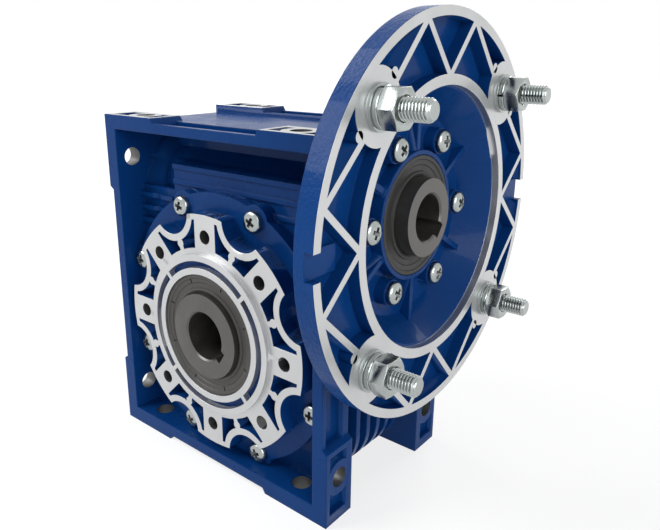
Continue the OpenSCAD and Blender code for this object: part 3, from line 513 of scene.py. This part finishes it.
def join(name, objects):
    """One object from several, kept as separate shells."""
    bm = bmesh.new()
    for obj in objects:
        bm.from_mesh(obj.data)
        bpy.data.objects.remove(obj, do_unlink=True)
    result = object_from(bm, name)
    smooth_mesh(result.data)
    return result


def combine(target, tool, operation):
    """A boolean between two solids, applied, and the tool removed."""
    modifier = target.modifiers.new("cut", "BOOLEAN")
    modifier.operation = operation
    modifier.solver = "EXACT"
    modifier.object = tool
    result = plain_mesh(target, target.name)
    bpy.data.objects.remove(tool, do_unlink=True)
    return result


def weld(obj, distance):
    """Joins corners closer than a distance in millimetres."""
    bm = bmesh.new()
    bm.from_mesh(obj.data)
    bmesh.ops.remove_doubles(bm, verts=bm.verts, dist=distance * MM)
    bmesh.ops.dissolve_degenerate(bm, edges=bm.edges, dist=distance * MM)
    bm.to_mesh(obj.data)
    bm.free()


def close_gaps(obj):
    """Fills a face that a boolean left out, and turns every face outwards."""
    bm = bmesh.new()
    bm.from_mesh(obj.data)
    bmesh.ops.holes_fill(bm, edges=[edge for edge in bm.edges if edge.is_boundary], sides=6)
    bmesh.ops.recalc_face_normals(bm, faces=bm.faces)
    bm.to_mesh(obj.data)
    bm.free()
    return obj


def bevelled(obj, width, angle=35):
    """A copy with its edges over an angle in degrees rounded to a width in millimetres."""
    modifier = obj.modifiers.new("edges", "BEVEL")
    modifier.width = width * MM
    modifier.segments = 2
    modifier.limit_method = "ANGLE"
    modifier.angle_limit = math.radians(angle)
    modifier.harden_normals = False
    result = plain_mesh(obj, obj.name)
    smooth_mesh(result.data)
    return result


# Castings and turned pieces: a welded copy of the CAD solid

def level_shading(obj):
    """Smooth shading in which a small face beside a large one takes the large one's normal."""
    smooth_mesh(obj.data)
    modifier = obj.modifiers.new("level", "WEIGHTED_NORMAL")
    modifier.keep_sharp = True
    return plain_mesh(obj, obj.name)


def welded_copy(node, name):
    """The CAD solid with its triangles joined to whole faces."""
    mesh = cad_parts[node].data.copy()
    mesh.name = name
    mesh.materials.clear()
    bm = bmesh.new()
    bm.from_mesh(mesh)
    bmesh.ops.remove_doubles(bm, verts=bm.verts, dist=WELD_DIST * MM)
    bmesh.ops.dissolve_limit(bm, angle_limit=math.radians(FLAT_ANGLE), verts=bm.verts, edges=bm.edges)
    bm.to_mesh(mesh)
    bm.free()
    obj = bpy.data.objects.new(name, mesh)
    bpy.context.collection.objects.link(obj)
    return level_shading(obj)


def place(obj, body, slot, *nodes):
    """Puts a finished piece on its body, for the CAD nodes that it stands for. The slot is not used."""
    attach(obj, body)
    if nodes:
        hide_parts(*nodes)


def from_nearest(x, y, circle_r, count, first=0.0):
    """Distance from a point to the nearest of the places on a circle, the first at an angle in degrees."""
    turn = math.degrees(math.atan2(y, x)) - first
    turn = math.radians(turn - round(turn * count / 360) * 360 / count)
    away = math.hypot(x, y)
    return math.hypot(away * math.sin(turn), away * math.cos(turn) - circle_r)


def housing_faces(middle, normal):
    """Milled pads on the top and the foot are bare, drilled holes are bare metal darkened as painted
    shade, and the rest is painted.
    """
    if abs(normal.z) > LEVEL and (middle.z > TOP_Z - PAD_SLACK or middle.z < FOOT_Z + PAD_SLACK):
        return 1
    if abs(normal.z) < UPRIGHT and (middle.z > TOP_Z - TOP_PAD_H or middle.z < FOOT_Z + FOOT_PAD_H):
        across = math.hypot(abs(middle.x) - FIXING_X, abs(middle.y) - FIXING_Y)
        if abs(across - FIXING_HOLE_R) < FIXING_HOLE_SLACK:
            return 2
    if abs(normal.x) < UPRIGHT and abs(middle.x) > SIDE_WALL_X:
        for z in (FOOT_Z + SIDE_HOLE_INSET, TOP_Z - SIDE_HOLE_INSET):
            across = math.hypot(abs(middle.y) - FIXING_Y, middle.z - z)
            if abs(across - FIXING_HOLE_R) < FIXING_HOLE_SLACK:
                return 2
    return 0


def cover_faces(middle, normal):
    """The face of the lobes, the spigot and the seal bore are turned bare, the bolt holes drilled and
    darkened as painted shade.
    """
    out = abs(middle.y)
    radius = math.hypot(middle.x, middle.z)
    if out > FACE_Y - FACE_SLACK:
        return 1
    if abs(normal.y) > BORE_WALL:
        return 0
    if radius < SEAL_BORE_R + BORE_SLACK:
        return 1
    across = from_nearest(middle.x, middle.z, FACE_BOLT_R, FACE_BOLTS)
    if abs(across - FACE_BOLT_HOLE_R) < FACE_HOLE_SLACK:
        return 2
    return 0


def flange_faces(middle, normal):
    """The motor face and the register are turned bare, the outer edge shows the cast grain under a lighter
    blue that is a painted highlight.
    """
    radius = math.hypot(middle.y, middle.z - WORM_Z)
    if middle.x > FLANGE_X - FACE_SLACK:
        return 1
    if middle.x > REGISTER_X - LEDGE_SLACK and REGISTER_R - RIM_SLACK < radius < REGISTER_R + PAD_SLACK:
        return 1
    if radius > FLANGE_R - RIM_SLACK and abs(normal.x) < RIM_WALL:
        return 2
    return 0


def slot_cutter():
    """Four arcs over the ring slots round the seal, as wide as in the photograph."""
    step = (90 - 2 * SLOT_BRIDGE) / SLOT_STEPS
    arcs = []
    for quarter in range(4):
        start = 90 * quarter + 45 + SLOT_BRIDGE
        turn = [math.radians(start + step * k) for k in range(SLOT_STEPS + 1)]
        points = [(SLOT_OUT_R * math.cos(a), SLOT_OUT_R * math.sin(a)) for a in turn]
        points += [(SLOT_IN_R * math.cos(a), SLOT_IN_R * math.sin(a)) for a in reversed(turn)]
        arcs.append(prism("slot_arc", points, SPIGOT_Y - SLOT_DEPTH, SPIGOT_Y + 1))
    return join("slot_cutter", arcs)


def bolt_land(name, low, high):
    """The land of one motor bolt, as wide as the web between the two rings, and a knob at each side."""
    land = disc(name, MOTOR_BOLT_R, LAND_R, low, high)
    under, over = low - 1, high + 1
    band = lathe("land_band", [(RING_R, under), (RIM_R, under), (RIM_R, over), (RING_R, over)],
                 segments=128)
    land = combine(land, band, "INTERSECT")
    hole = disc("bolt_hole", MOTOR_BOLT_R, FIXING_HOLE_R, under, over)
    land = combine(land, hole, "DIFFERENCE")
    knobs = []
    for side in (-1, 1):
        angle = math.radians(side * KNOB_ANGLE)
        x = KNOB_CIRCLE_R * math.cos(angle)
        y = KNOB_CIRCLE_R * math.sin(angle)
        knobs.append(disc("knob", x, KNOB_R, low, high, y, segments=32))
    return join(name, (land, *knobs))


housing = welded_copy("housing", "housing_casting")
finish_faces(housing, (PAINT, MILLED, DRILLED_SHADED), housing_faces)
place(housing, "casing", "blue_paint", "housing")

for side, where in (("front", AT_FRONT), ("rear", AT_REAR)):
    cover = welded_copy(side + "_cover", side + "_cover_casting")
    cutter = slot_cutter()
    cutter.data.transform(where)
    cover = level_shading(close_gaps(combine(cover, cutter, "DIFFERENCE")))
    finish_faces(cover, (PAINT, FACED_COVER, DRILLED_SHADED), cover_faces)
    place(cover, "casing", "blue_paint", side + "_cover")

flange = welded_copy("motor_flange", "motor_flange_casting")
finish_faces(flange, (PAINT, FACED_FLANGE, RIM_PAINT_LIT), flange_faces)
place(flange, "casing", "blue_paint", "motor_flange")

gusset_tip = DISH_FOOT_R + (GUSSET_X - DISH_X) * DISH_LEAN
gusset = [(HUB_R, DISH_X), (DISH_FOOT_R, DISH_X), (gusset_tip, GUSSET_X), (HUB_R, GUSSET_X)]
blades = []
for k in range(FLANGE_SCREWS):
    blade = prism("gusset", gusset, -GUSSET_T / 2, GUSSET_T / 2)
    blade.data.transform(AT_MOTOR @ turned(k + 0.5, FLANGE_SCREWS) @ GUSSET_UPRIGHT)
    blades.append(blade)
gussets = join("dish_gussets", blades)
finish_faces(gussets, (PAINT,), lambda middle, normal: 0)
place(gussets, "casing", "blue_paint")

lands = []
for k in range(MOTOR_BOLTS):
    land = bolt_land("land", WEB_X, FLANGE_X + LAND_RISE)
    land.data.transform(AT_MOTOR @ turned(k + 0.5, MOTOR_BOLTS))
    lands.append(land)
lands = join("motor_bolt_lands", lands)
finish_faces(lands, (PAINT, FACED_LAND), lambda middle, normal: int(normal.x > LEVEL))
place(lands, "casing", "blue_paint")

output_shaft = welded_copy("output_shaft", "hollow_output_shaft")
finish_faces(output_shaft, (DARK_STEEL,), lambda middle, normal: 0)
place(output_shaft, "output", "dark_steel", "output_shaft")


# Fasteners

def cross_recess(head):
    """Cuts a tapered cross into the crown of a head."""
    for turn in (0, 90):
        bm = bmesh.new()
        bmesh.ops.create_cube(bm, size=2)
        for vert in bm.verts:
            deep = vert.co.z < 0
            half_length, half_width = CROSS_FLOOR if deep else CROSS_MOUTH
            z = HEAD_H - CROSS_DEPTH if deep else HEAD_H + CROSS_OVER
            vert.co = (vert.co.x * half_length * MM, vert.co.y * half_width * MM, z * MM)
        bmesh.ops.rotate(bm, verts=bm.verts, matrix=Matrix.Rotation(math.radians(turn), 3, "Z"))
        head = combine(head, object_from(bm, "cross_arm"), "DIFFERENCE")
    return head


def pan_screw(name, length):
    """Pan head screw with a cross recess, its seat at z = 0."""
    shank = [(0, -length), (SCREW_TIP_R, -length), (SCREW_R, SCREW_TIP_H - length), (SCREW_R, 0)]
    screw = lathe(name, [*shank, *HEAD_CROWN], segments=40)
    return bevelled(cross_recess(screw), SCREW_EDGE, angle=50)


def thread_profile(phase):
    """Height of an ISO thread over its root, from 0 to 1, at a phase from 0 to 1."""
    ramp = abs(2 * (phase % 1.0) - 1)
    return min(1.0, max(0.0, (ramp - THREAD_ROOT) / THREAD_FLANK))


def threaded_rod(name, r, low, high, pitch, tip):
    """A rod of radius r with a helical thread from low to high, and a chamfer at its tip."""
    segments = 40
    per_pitch = 8
    depth = THREAD_DEPTH * pitch
    rows = int((high - low) / pitch * per_pitch)
    bm = bmesh.new()
    rings = []
    for row in range(rows + 1):
        z = low + (high - low) * row / rows
        limit = r - max(0.0, tip - (high - z))
        ring = []
        for k in range(segments):
            a = 2 * math.pi * k / segments
            height = thread_profile(z / pitch - k / segments)
            radius = min(limit, r - depth * (1 - height))
            ring.append(bm.verts.new((radius * MM * math.cos(a), radius * MM * math.sin(a), z * MM)))
        rings.append(ring)
    for lower, upper in zip(rings, rings[1:]):
        for k in range(segments):
            j = (k + 1) % segments
            bm.faces.new((lower[k], lower[j], upper[j], upper[k]))
    bm.faces.new(rings[0])
    bm.faces.new(rings[-1])
    bmesh.ops.recalc_face_normals(bm, faces=bm.faces)
    rod = object_from(bm, name)
    smooth_mesh(rod.data, angle=40)
    return rod


def hexagon_outline(flats):
    r = flats / 2 / math.cos(math.radians(30))
    return [(r * math.cos(math.radians(60 * k)), r * math.sin(math.radians(60 * k))) for k in range(6)]


def hex_body(name, flats, low, high, chamfers):
    """A hexagon whose corners are turned off at the ends named in chamfers."""
    body = prism(name, hexagon_outline(flats), low, high)
    corner = flats / 2 / math.cos(math.radians(30))
    chamfer_r = flats / 2 * CHAMFER_SHARE
    drop = (corner - chamfer_r) * CHAMFER_SLOPE
    beyond = 0.5
    clear_r = corner + 1
    low_r = chamfer_r - 2 * beyond if "low" in chamfers else clear_r
    high_r = chamfer_r - 2 * beyond if "high" in chamfers else clear_r
    ends = [(0, low - beyond), (low_r, low - beyond), (clear_r, low + drop + beyond),
            (clear_r, high - drop - beyond), (high_r, high + beyond), (0, high + beyond)]
    return combine(body, lathe(name + "_cone", ends, segments=72), "INTERSECT")


def hex_bolt(name):
    """M10 hexagon bolt, z = 0 at the back of the flange plate."""
    head = hex_body(name, HEX_FLATS, -BOLT_HEAD_H, 0, ("low",))
    head = bevelled(head, BOLT_EDGE, angle=25)
    shank = [(0, -0.5), (BOLT_R, -0.5), (BOLT_R, SHANK_L), (0, SHANK_L)]
    shank = lathe(name + "_shank", shank, segments=40)
    smooth_mesh(shank.data)
    rod = threaded_rod(name + "_thread", BOLT_R, THREAD_START, BOLT_L, THREAD_PITCH, BOLT_TIP)
    return join(name, (head, shank, rod))


def hex_nut(name):
    """M10 nut, z = 0 at its seat, with a bore countersunk at both ends."""
    body = hex_body(name, HEX_FLATS, 0, NUT_H, ("low", "high"))
    bore = [(0, -1), (NUT_SINK_R, -1), (NUT_BORE_R, NUT_SINK_H),
            (NUT_BORE_R, NUT_H - NUT_SINK_H), (NUT_SINK_R, NUT_H + 1), (0, NUT_H + 1)]
    nut = combine(body, lathe(name + "_bore", bore, segments=48), "DIFFERENCE")
    weld(nut, distance=0.02)
    return bevelled(nut, NUT_EDGE, angle=25)


def plain_washer(name, inner, outer, thick):
    body = lathe(name, [(inner, 0), (outer, 0), (outer, thick), (inner, thick)])
    return bevelled(body, WASHER_EDGE)


def split_washer(name, inner, outer, thick, gap):
    """Spring washer: a wire of square section bent round once, its two ends left apart."""
    steps = 60
    free = math.asin(gap / (inner + outer))
    fine, wide = 0.2, 0.3
    section = [(inner, fine), (inner + fine, 0), (outer - wide, 0), (outer, wide), (outer, thick - wide),
               (outer - wide, thick), (inner + fine, thick), (inner, thick - fine)]
    bm = bmesh.new()
    rings = []
    for step in range(steps + 1):
        a = free + (2 * math.pi - 2 * free) * step / steps
        across, up = MM * math.cos(a), MM * math.sin(a)
        rings.append([bm.verts.new((r * across, r * up, z * MM)) for r, z in section])
    for first, second in zip(rings, rings[1:]):
        for k in range(len(section)):
            j = (k + 1) % len(section)
            bm.faces.new((first[k], first[j], second[j], second[k]))
    bm.faces.new(rings[0])
    bm.faces.new(rings[-1])
    bmesh.ops.recalc_face_normals(bm, faces=bm.faces)
    washer = object_from(bm, name)
    smooth_mesh(washer.data)
    return washer


# Geometry nodes: a fastener repeated on a circle

def tree_input(tree, name, kind, value=None):
    socket = tree.interface.new_socket(name=name, in_out="INPUT", socket_type=kind)
    if value is not None:
        socket.default_value = value
    return socket.identifier


def fastener_ring_tree():
    """Repeats one fastener on a bolt circle, each turned by its own seeded angle."""
    tree = bpy.data.node_groups.new("fastener_ring", "GeometryNodeTree")
    names = {"Geometry": tree_input(tree, "Geometry", "NodeSocketGeometry")}
    names["Fastener"] = tree_input(tree, "Fastener", "NodeSocketObject")
    names["Count"] = tree_input(tree, "Count", "NodeSocketInt", 4)
    names["Circle Radius"] = tree_input(tree, "Circle Radius", "NodeSocketFloat", 0.05)
    names["First Angle"] = tree_input(tree, "First Angle", "NodeSocketFloat", 0.0)
    names["Height"] = tree_input(tree, "Height", "NodeSocketFloat", 0.0)
    names["Turn Spread"] = tree_input(tree, "Turn Spread", "NodeSocketFloat", 0.0)
    names["Seed"] = tree_input(tree, "Seed", "NodeSocketInt", 1)
    names["Finish"] = tree_input(tree, "Finish", "NodeSocketMaterial")
    tree.interface.new_socket(name="Geometry", in_out="OUTPUT", socket_type="NodeSocketGeometry")
    given = tree.nodes.new("NodeGroupInput")
    result = tree.nodes.new("NodeGroupOutput")
    circle = tree.nodes.new("GeometryNodeMeshCircle")
    link = tree.links.new
    link(given.outputs["Count"], circle.inputs["Vertices"])
    link(given.outputs["Circle Radius"], circle.inputs["Radius"])
    lift = tree.nodes.new("ShaderNodeCombineXYZ")
    link(given.outputs["Height"], lift.inputs["Z"])
    start = tree.nodes.new("ShaderNodeCombineXYZ")
    link(given.outputs["First Angle"], start.inputs["Z"])
    moved = tree.nodes.new("GeometryNodeTransform")
    link(circle.outputs["Mesh"], moved.inputs["Geometry"])
    link(lift.outputs[0], moved.inputs["Translation"])
    link(start.outputs[0], moved.inputs["Rotation"])
    source = tree.nodes.new("GeometryNodeObjectInfo")
    link(given.outputs["Fastener"], source.inputs["Object"])
    spread = tree.nodes.new("FunctionNodeRandomValue")
    spread.data_type = "FLOAT"
    link(given.outputs["Turn Spread"], spread.inputs[3])
    link(given.outputs["Seed"], spread.inputs["Seed"])
    turn = tree.nodes.new("ShaderNodeCombineXYZ")
    link(spread.outputs[1], turn.inputs["Z"])
    copies = tree.nodes.new("GeometryNodeInstanceOnPoints")
    link(moved.outputs[0], copies.inputs["Points"])
    link(source.outputs["Geometry"], copies.inputs["Instance"])
    link(turn.outputs[0], copies.inputs["Rotation"])
    real = tree.nodes.new("GeometryNodeRealizeInstances")
    link(copies.outputs[0], real.inputs[0])
    finish = tree.nodes.new("GeometryNodeSetMaterial")
    link(real.outputs[0], finish.inputs["Geometry"])
    link(given.outputs["Finish"], finish.inputs["Material"])
    link(finish.outputs[0], result.inputs["Geometry"])
    return tree, names


RING_TREE, RING_INPUTS = fastener_ring_tree()


def fastener_ring(name, piece, where, count, radius, height,
                  first=0.0, spread=0.0, seed=1, finishes=(ZINC,)):
    """A ring of fasteners as one plain mesh, placed by its matrix."""
    carrier = bpy.data.objects.new(name, bpy.data.meshes.new(name))
    bpy.context.collection.objects.link(carrier)
    modifier = carrier.modifiers.new("ring", "NODES")
    modifier.node_group = RING_TREE
    values = {"Fastener": piece, "Count": count, "Circle Radius": radius * MM,
              "First Angle": math.radians(first), "Height": height * MM,
              "Turn Spread": math.radians(spread), "Seed": seed, "Finish": finishes[0]}
    for key, value in values.items():
        modifier[RING_INPUTS[key]] = value
    ring = plain_mesh(carrier, name)

    def in_recess(middle, normal):
        """The walls and the floor of a cross recess lie under the crown, near the middle of a head, and
        take a darker zinc that is painted shade.
        """
        near = from_nearest(middle.x, middle.y, radius, count, first) < CROSS_REACH
        return int(len(finishes) > 1 and near and CROSS_LOW < middle.z - height < CROSS_HIGH)

    smooth_mesh(ring.data)
    finish_faces(ring, finishes, in_recess)
    ring.data.transform(where)
    return ring


cover_screw = pan_screw("cover_screw", COVER_SCREW_L)
for side, where, seed in (("front", AT_FRONT, 3), ("rear", AT_REAR, 8)):
    ring = fastener_ring(side + "_cover_screw_ring", cover_screw, where, COVER_SCREWS, COVER_SCREW_R,
                         COVER_SEAT_Y, first=180 / COVER_SCREWS, spread=CROSS_SPREAD, seed=seed,
                         finishes=(ZINC, RECESS_SHADE))
    place(ring, "casing", "zinc", side + "_cover_screws")

flange_screw = pan_screw("flange_screw", FLANGE_SCREW_L)
ring = fastener_ring("flange_screw_ring", flange_screw, AT_MOTOR, FLANGE_SCREWS, FLANGE_SCREW_R,
                     FLANGE_BOSS_X, spread=CROSS_SPREAD, seed=5, finishes=(ZINC, RECESS_SHADE))
place(ring, "casing", "zinc", "flange_screws")

motor_bolt = hex_bolt("motor_bolt")
flat_washer = plain_washer("flat_washer", WASHER_BORE_R, WASHER_R, WASHER_T)
spring_washer = split_washer("spring_washer", SPRING_BORE_R, SPRING_R, SPRING_T, SPRING_GAP)
motor_nut = hex_nut("motor_nut")
MOTOR_STACK = (
    ("motor_bolt_set", motor_bolt, FLANGE_X - PLATE_T, 0, "motor_bolts"),
    ("flat_washer_set", flat_washer, FLANGE_X, 0, "flat_washers"),
    ("spring_washer_set", spring_washer, FLANGE_X + WASHER_T, SPRING_SPREAD, "spring_washers"),
    ("motor_nut_set", motor_nut, FLANGE_X + WASHER_T + SPRING_T, 0, "motor_nuts"),
)
for name, piece, height, spread, node in MOTOR_STACK:
    ring = fastener_ring(name, piece, AT_MOTOR, MOTOR_BOLTS, MOTOR_BOLT_R, height,
                         first=180 / MOTOR_BOLTS, spread=spread, seed=11)
    place(ring, "casing", "zinc", node)
    bpy.data.objects.remove(piece, do_unlink=True)
for piece in (cover_screw, flange_screw):
    bpy.data.objects.remove(piece, do_unlink=True)


# Oil seals

def lip_seal(name, shaft_r, outer_r):
    """Rotary seal, z = 0 at its back: rolled edge, dished face and raised lip collar."""
    middle_r = (outer_r + shaft_r) / 2
    section = [(outer_r, 0)]
    section += [(outer_r - inwards, SEAL_W - deep) for inwards, deep in SEAL_RIM]
    section += [(middle_r + outwards, SEAL_W - deep) for outwards, deep in SEAL_DISH]
    section += [(shaft_r + outwards, SEAL_W - deep) for outwards, deep in SEAL_COLLAR]
    section += [(shaft_r + outwards, high) for outwards, high in SEAL_BACK_COLLAR]
    section += [(outer_r - inwards, high) for inwards, high in SEAL_BACK_RIM]
    return lathe(name, section, segments=128)


def notch_seal(obj):
    """Small moulded vents pressed into the face, evenly spaced."""
    bm = bmesh.new()
    for k in range(VENTS):
        a = 2 * math.pi * (k + 0.5) / VENTS
        cube = bmesh.ops.create_cube(bm, size=1)["verts"]
        bmesh.ops.scale(bm, vec=Vector(VENT_SIZE) * MM, verts=cube)
        bmesh.ops.translate(bm, vec=Vector((VENT_R, 0, VENT_Z)) * MM, verts=cube)
        bmesh.ops.rotate(bm, verts=cube, matrix=Matrix.Rotation(a, 3, "Z"))
    return combine(obj, object_from(bm, "vents"), "DIFFERENCE")


def fit_seal(seal, where, seat, finish, node):
    """Puts a seal on its seat, with its finish."""
    seal.data.transform(where @ Matrix.Translation((0, 0, seat * MM)))
    smooth_mesh(seal.data, angle=SEAL_CREASE)
    finish_faces(seal, (finish,), lambda middle, normal: 0)
    place(seal, "casing", "seal_rubber", node)


for side, where in (("front", AT_FRONT), ("rear", AT_REAR)):
    seal = notch_seal(lip_seal(side + "_lip_seal", SHAFT_R, OUTPUT_SEAL_R))
    fit_seal(seal, where, OUTPUT_SEAL_Y, SEAL_RUBBER, side + "_output_seal")
seal = lip_seal("input_lip_seal", INPUT_SHAFT_R, INPUT_SEAL_R)
fit_seal(seal, AT_MOTOR, INPUT_SEAL_X, INPUT_RUBBER, "input_seal")


# Pieces that keep their CAD mesh

KEPT_FINISHES = {
    "worm_shaft": DARK_STEEL, "wheel_rim": BRONZE, "tail_cap": BLACK_RUBBER,
    "front_cover_o_ring": BLACK_RUBBER, "rear_cover_o_ring": BLACK_RUBBER,
    "flange_gasket": GASKET, "input_circlip": SPRING_STEEL, "tail_circlip": SPRING_STEEL,
}
for where in ("front", "rear", "input", "tail"):
    for piece in ("outer", "inner", "balls"):
        KEPT_FINISHES["%s_bearing_%s" % (where, piece)] = BEARING_STEEL
    KEPT_FINISHES["%s_bearing_cage" % where] = CAGE_STEEL
for node, material in KEPT_FINISHES.items():
    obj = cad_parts[node]
    if not obj.material_slots:
        obj.data.materials.append(material)
    for socket in obj.material_slots:
        socket.material = material


# Studio

def showing_rays(tree):
    """1 for the rays that show the white studio: those of the camera, of metal and of glass."""
    path = add(tree, "ShaderNodeLightPath")
    metal = math_node(tree, "MAXIMUM", path.outputs["Is Camera Ray"], path.outputs["Is Glossy Ray"])
    return math_node(tree, "MAXIMUM", metal, path.outputs["Is Transmission Ray"])


def floor_and_world():
    """A pale floor under the feet, and soft light from a world that shows white."""
    bm = bmesh.new()
    bmesh.ops.create_grid(bm, x_segments=1, y_segments=1, size=FLOOR_REACH)
    bmesh.ops.translate(bm, vec=Vector((0, 0, (FOOT_Z - FLOOR_GAP) * MM)), verts=bm.verts)
    floor = object_from(bm, "floor")
    material, tree, shader = new_material("studio_floor")
    shader.inputs["Base Color"].default_value = FLOOR_COLOUR
    shader.inputs["Roughness"].default_value = 0.9
    glow = add(tree, "ShaderNodeEmission")
    glow.inputs["Strength"].default_value = FLOOR_GLOW
    blend = add(tree, "ShaderNodeMixShader")
    far = remap(tree, radius_from(tree, object_coords(tree), 0, 1), *FLOOR_FADE)
    share = math_node(tree, "MULTIPLY", showing_rays(tree), far)
    tree.links.new(share, blend.inputs[0])
    tree.links.new(shader.outputs[0], blend.inputs[1])
    tree.links.new(glow.outputs[0], blend.inputs[2])
    tree.links.new(blend.outputs[0], tree.nodes["Material Output"].inputs["Surface"])
    floor.data.materials.append(material)

    world = bpy.data.worlds.new("studio")
    world.use_nodes = True
    bpy.context.scene.world = world
    tree = world.node_tree
    soft = tree.nodes["Background"]
    soft.inputs["Color"].default_value = SOFT_COLOUR
    soft.inputs["Strength"].default_value = SOFT_LEVEL
    white = add(tree, "ShaderNodeBackground")
    white.inputs["Color"].default_value = (1, 1, 1, 1)
    white.inputs["Strength"].default_value = 1.0
    blend = add(tree, "ShaderNodeMixShader")
    tree.links.new(showing_rays(tree), blend.inputs[0])
    tree.links.new(soft.outputs[0], blend.inputs[1])
    tree.links.new(white.outputs[0], blend.inputs[2])
    tree.links.new(blend.outputs[0], tree.nodes["World Output"].inputs["Surface"])


def area_light(name, spot, aim, width, height, power):
    light = bpy.data.lights.new(name, "AREA")
    light.shape = "RECTANGLE"
    light.size = width
    light.size_y = height
    light.energy = power
    obj = bpy.data.objects.new(name, light)
    obj.location = spot
    obj.rotation_euler = (Vector(aim) - Vector(spot)).to_track_quat("-Z", "Y").to_euler()
    bpy.context.collection.objects.link(obj)


def studio_camera():
    """The camera of the photograph: its place, turn, tilt, focal length and framing."""
    camera = bpy.data.cameras.new("camera")
    camera.sensor_width = 36
    camera.lens = CAMERA_LENS
    camera.shift_x, camera.shift_y = CAMERA_SHIFT
    camera.clip_start = 0.01
    obj = bpy.data.objects.new("camera", camera)
    obj.location = CAMERA_PLACE
    obj.rotation_euler = (math.radians(90 - CAMERA_TILT), 0, math.radians(CAMERA_TURN))
    bpy.context.collection.objects.link(obj)
    bpy.context.scene.camera = obj


floor_and_world()
for lamp in LAMPS:
    area_light(*lamp)
studio_camera()
bpy.context.scene.view_settings.view_transform = "Standard"
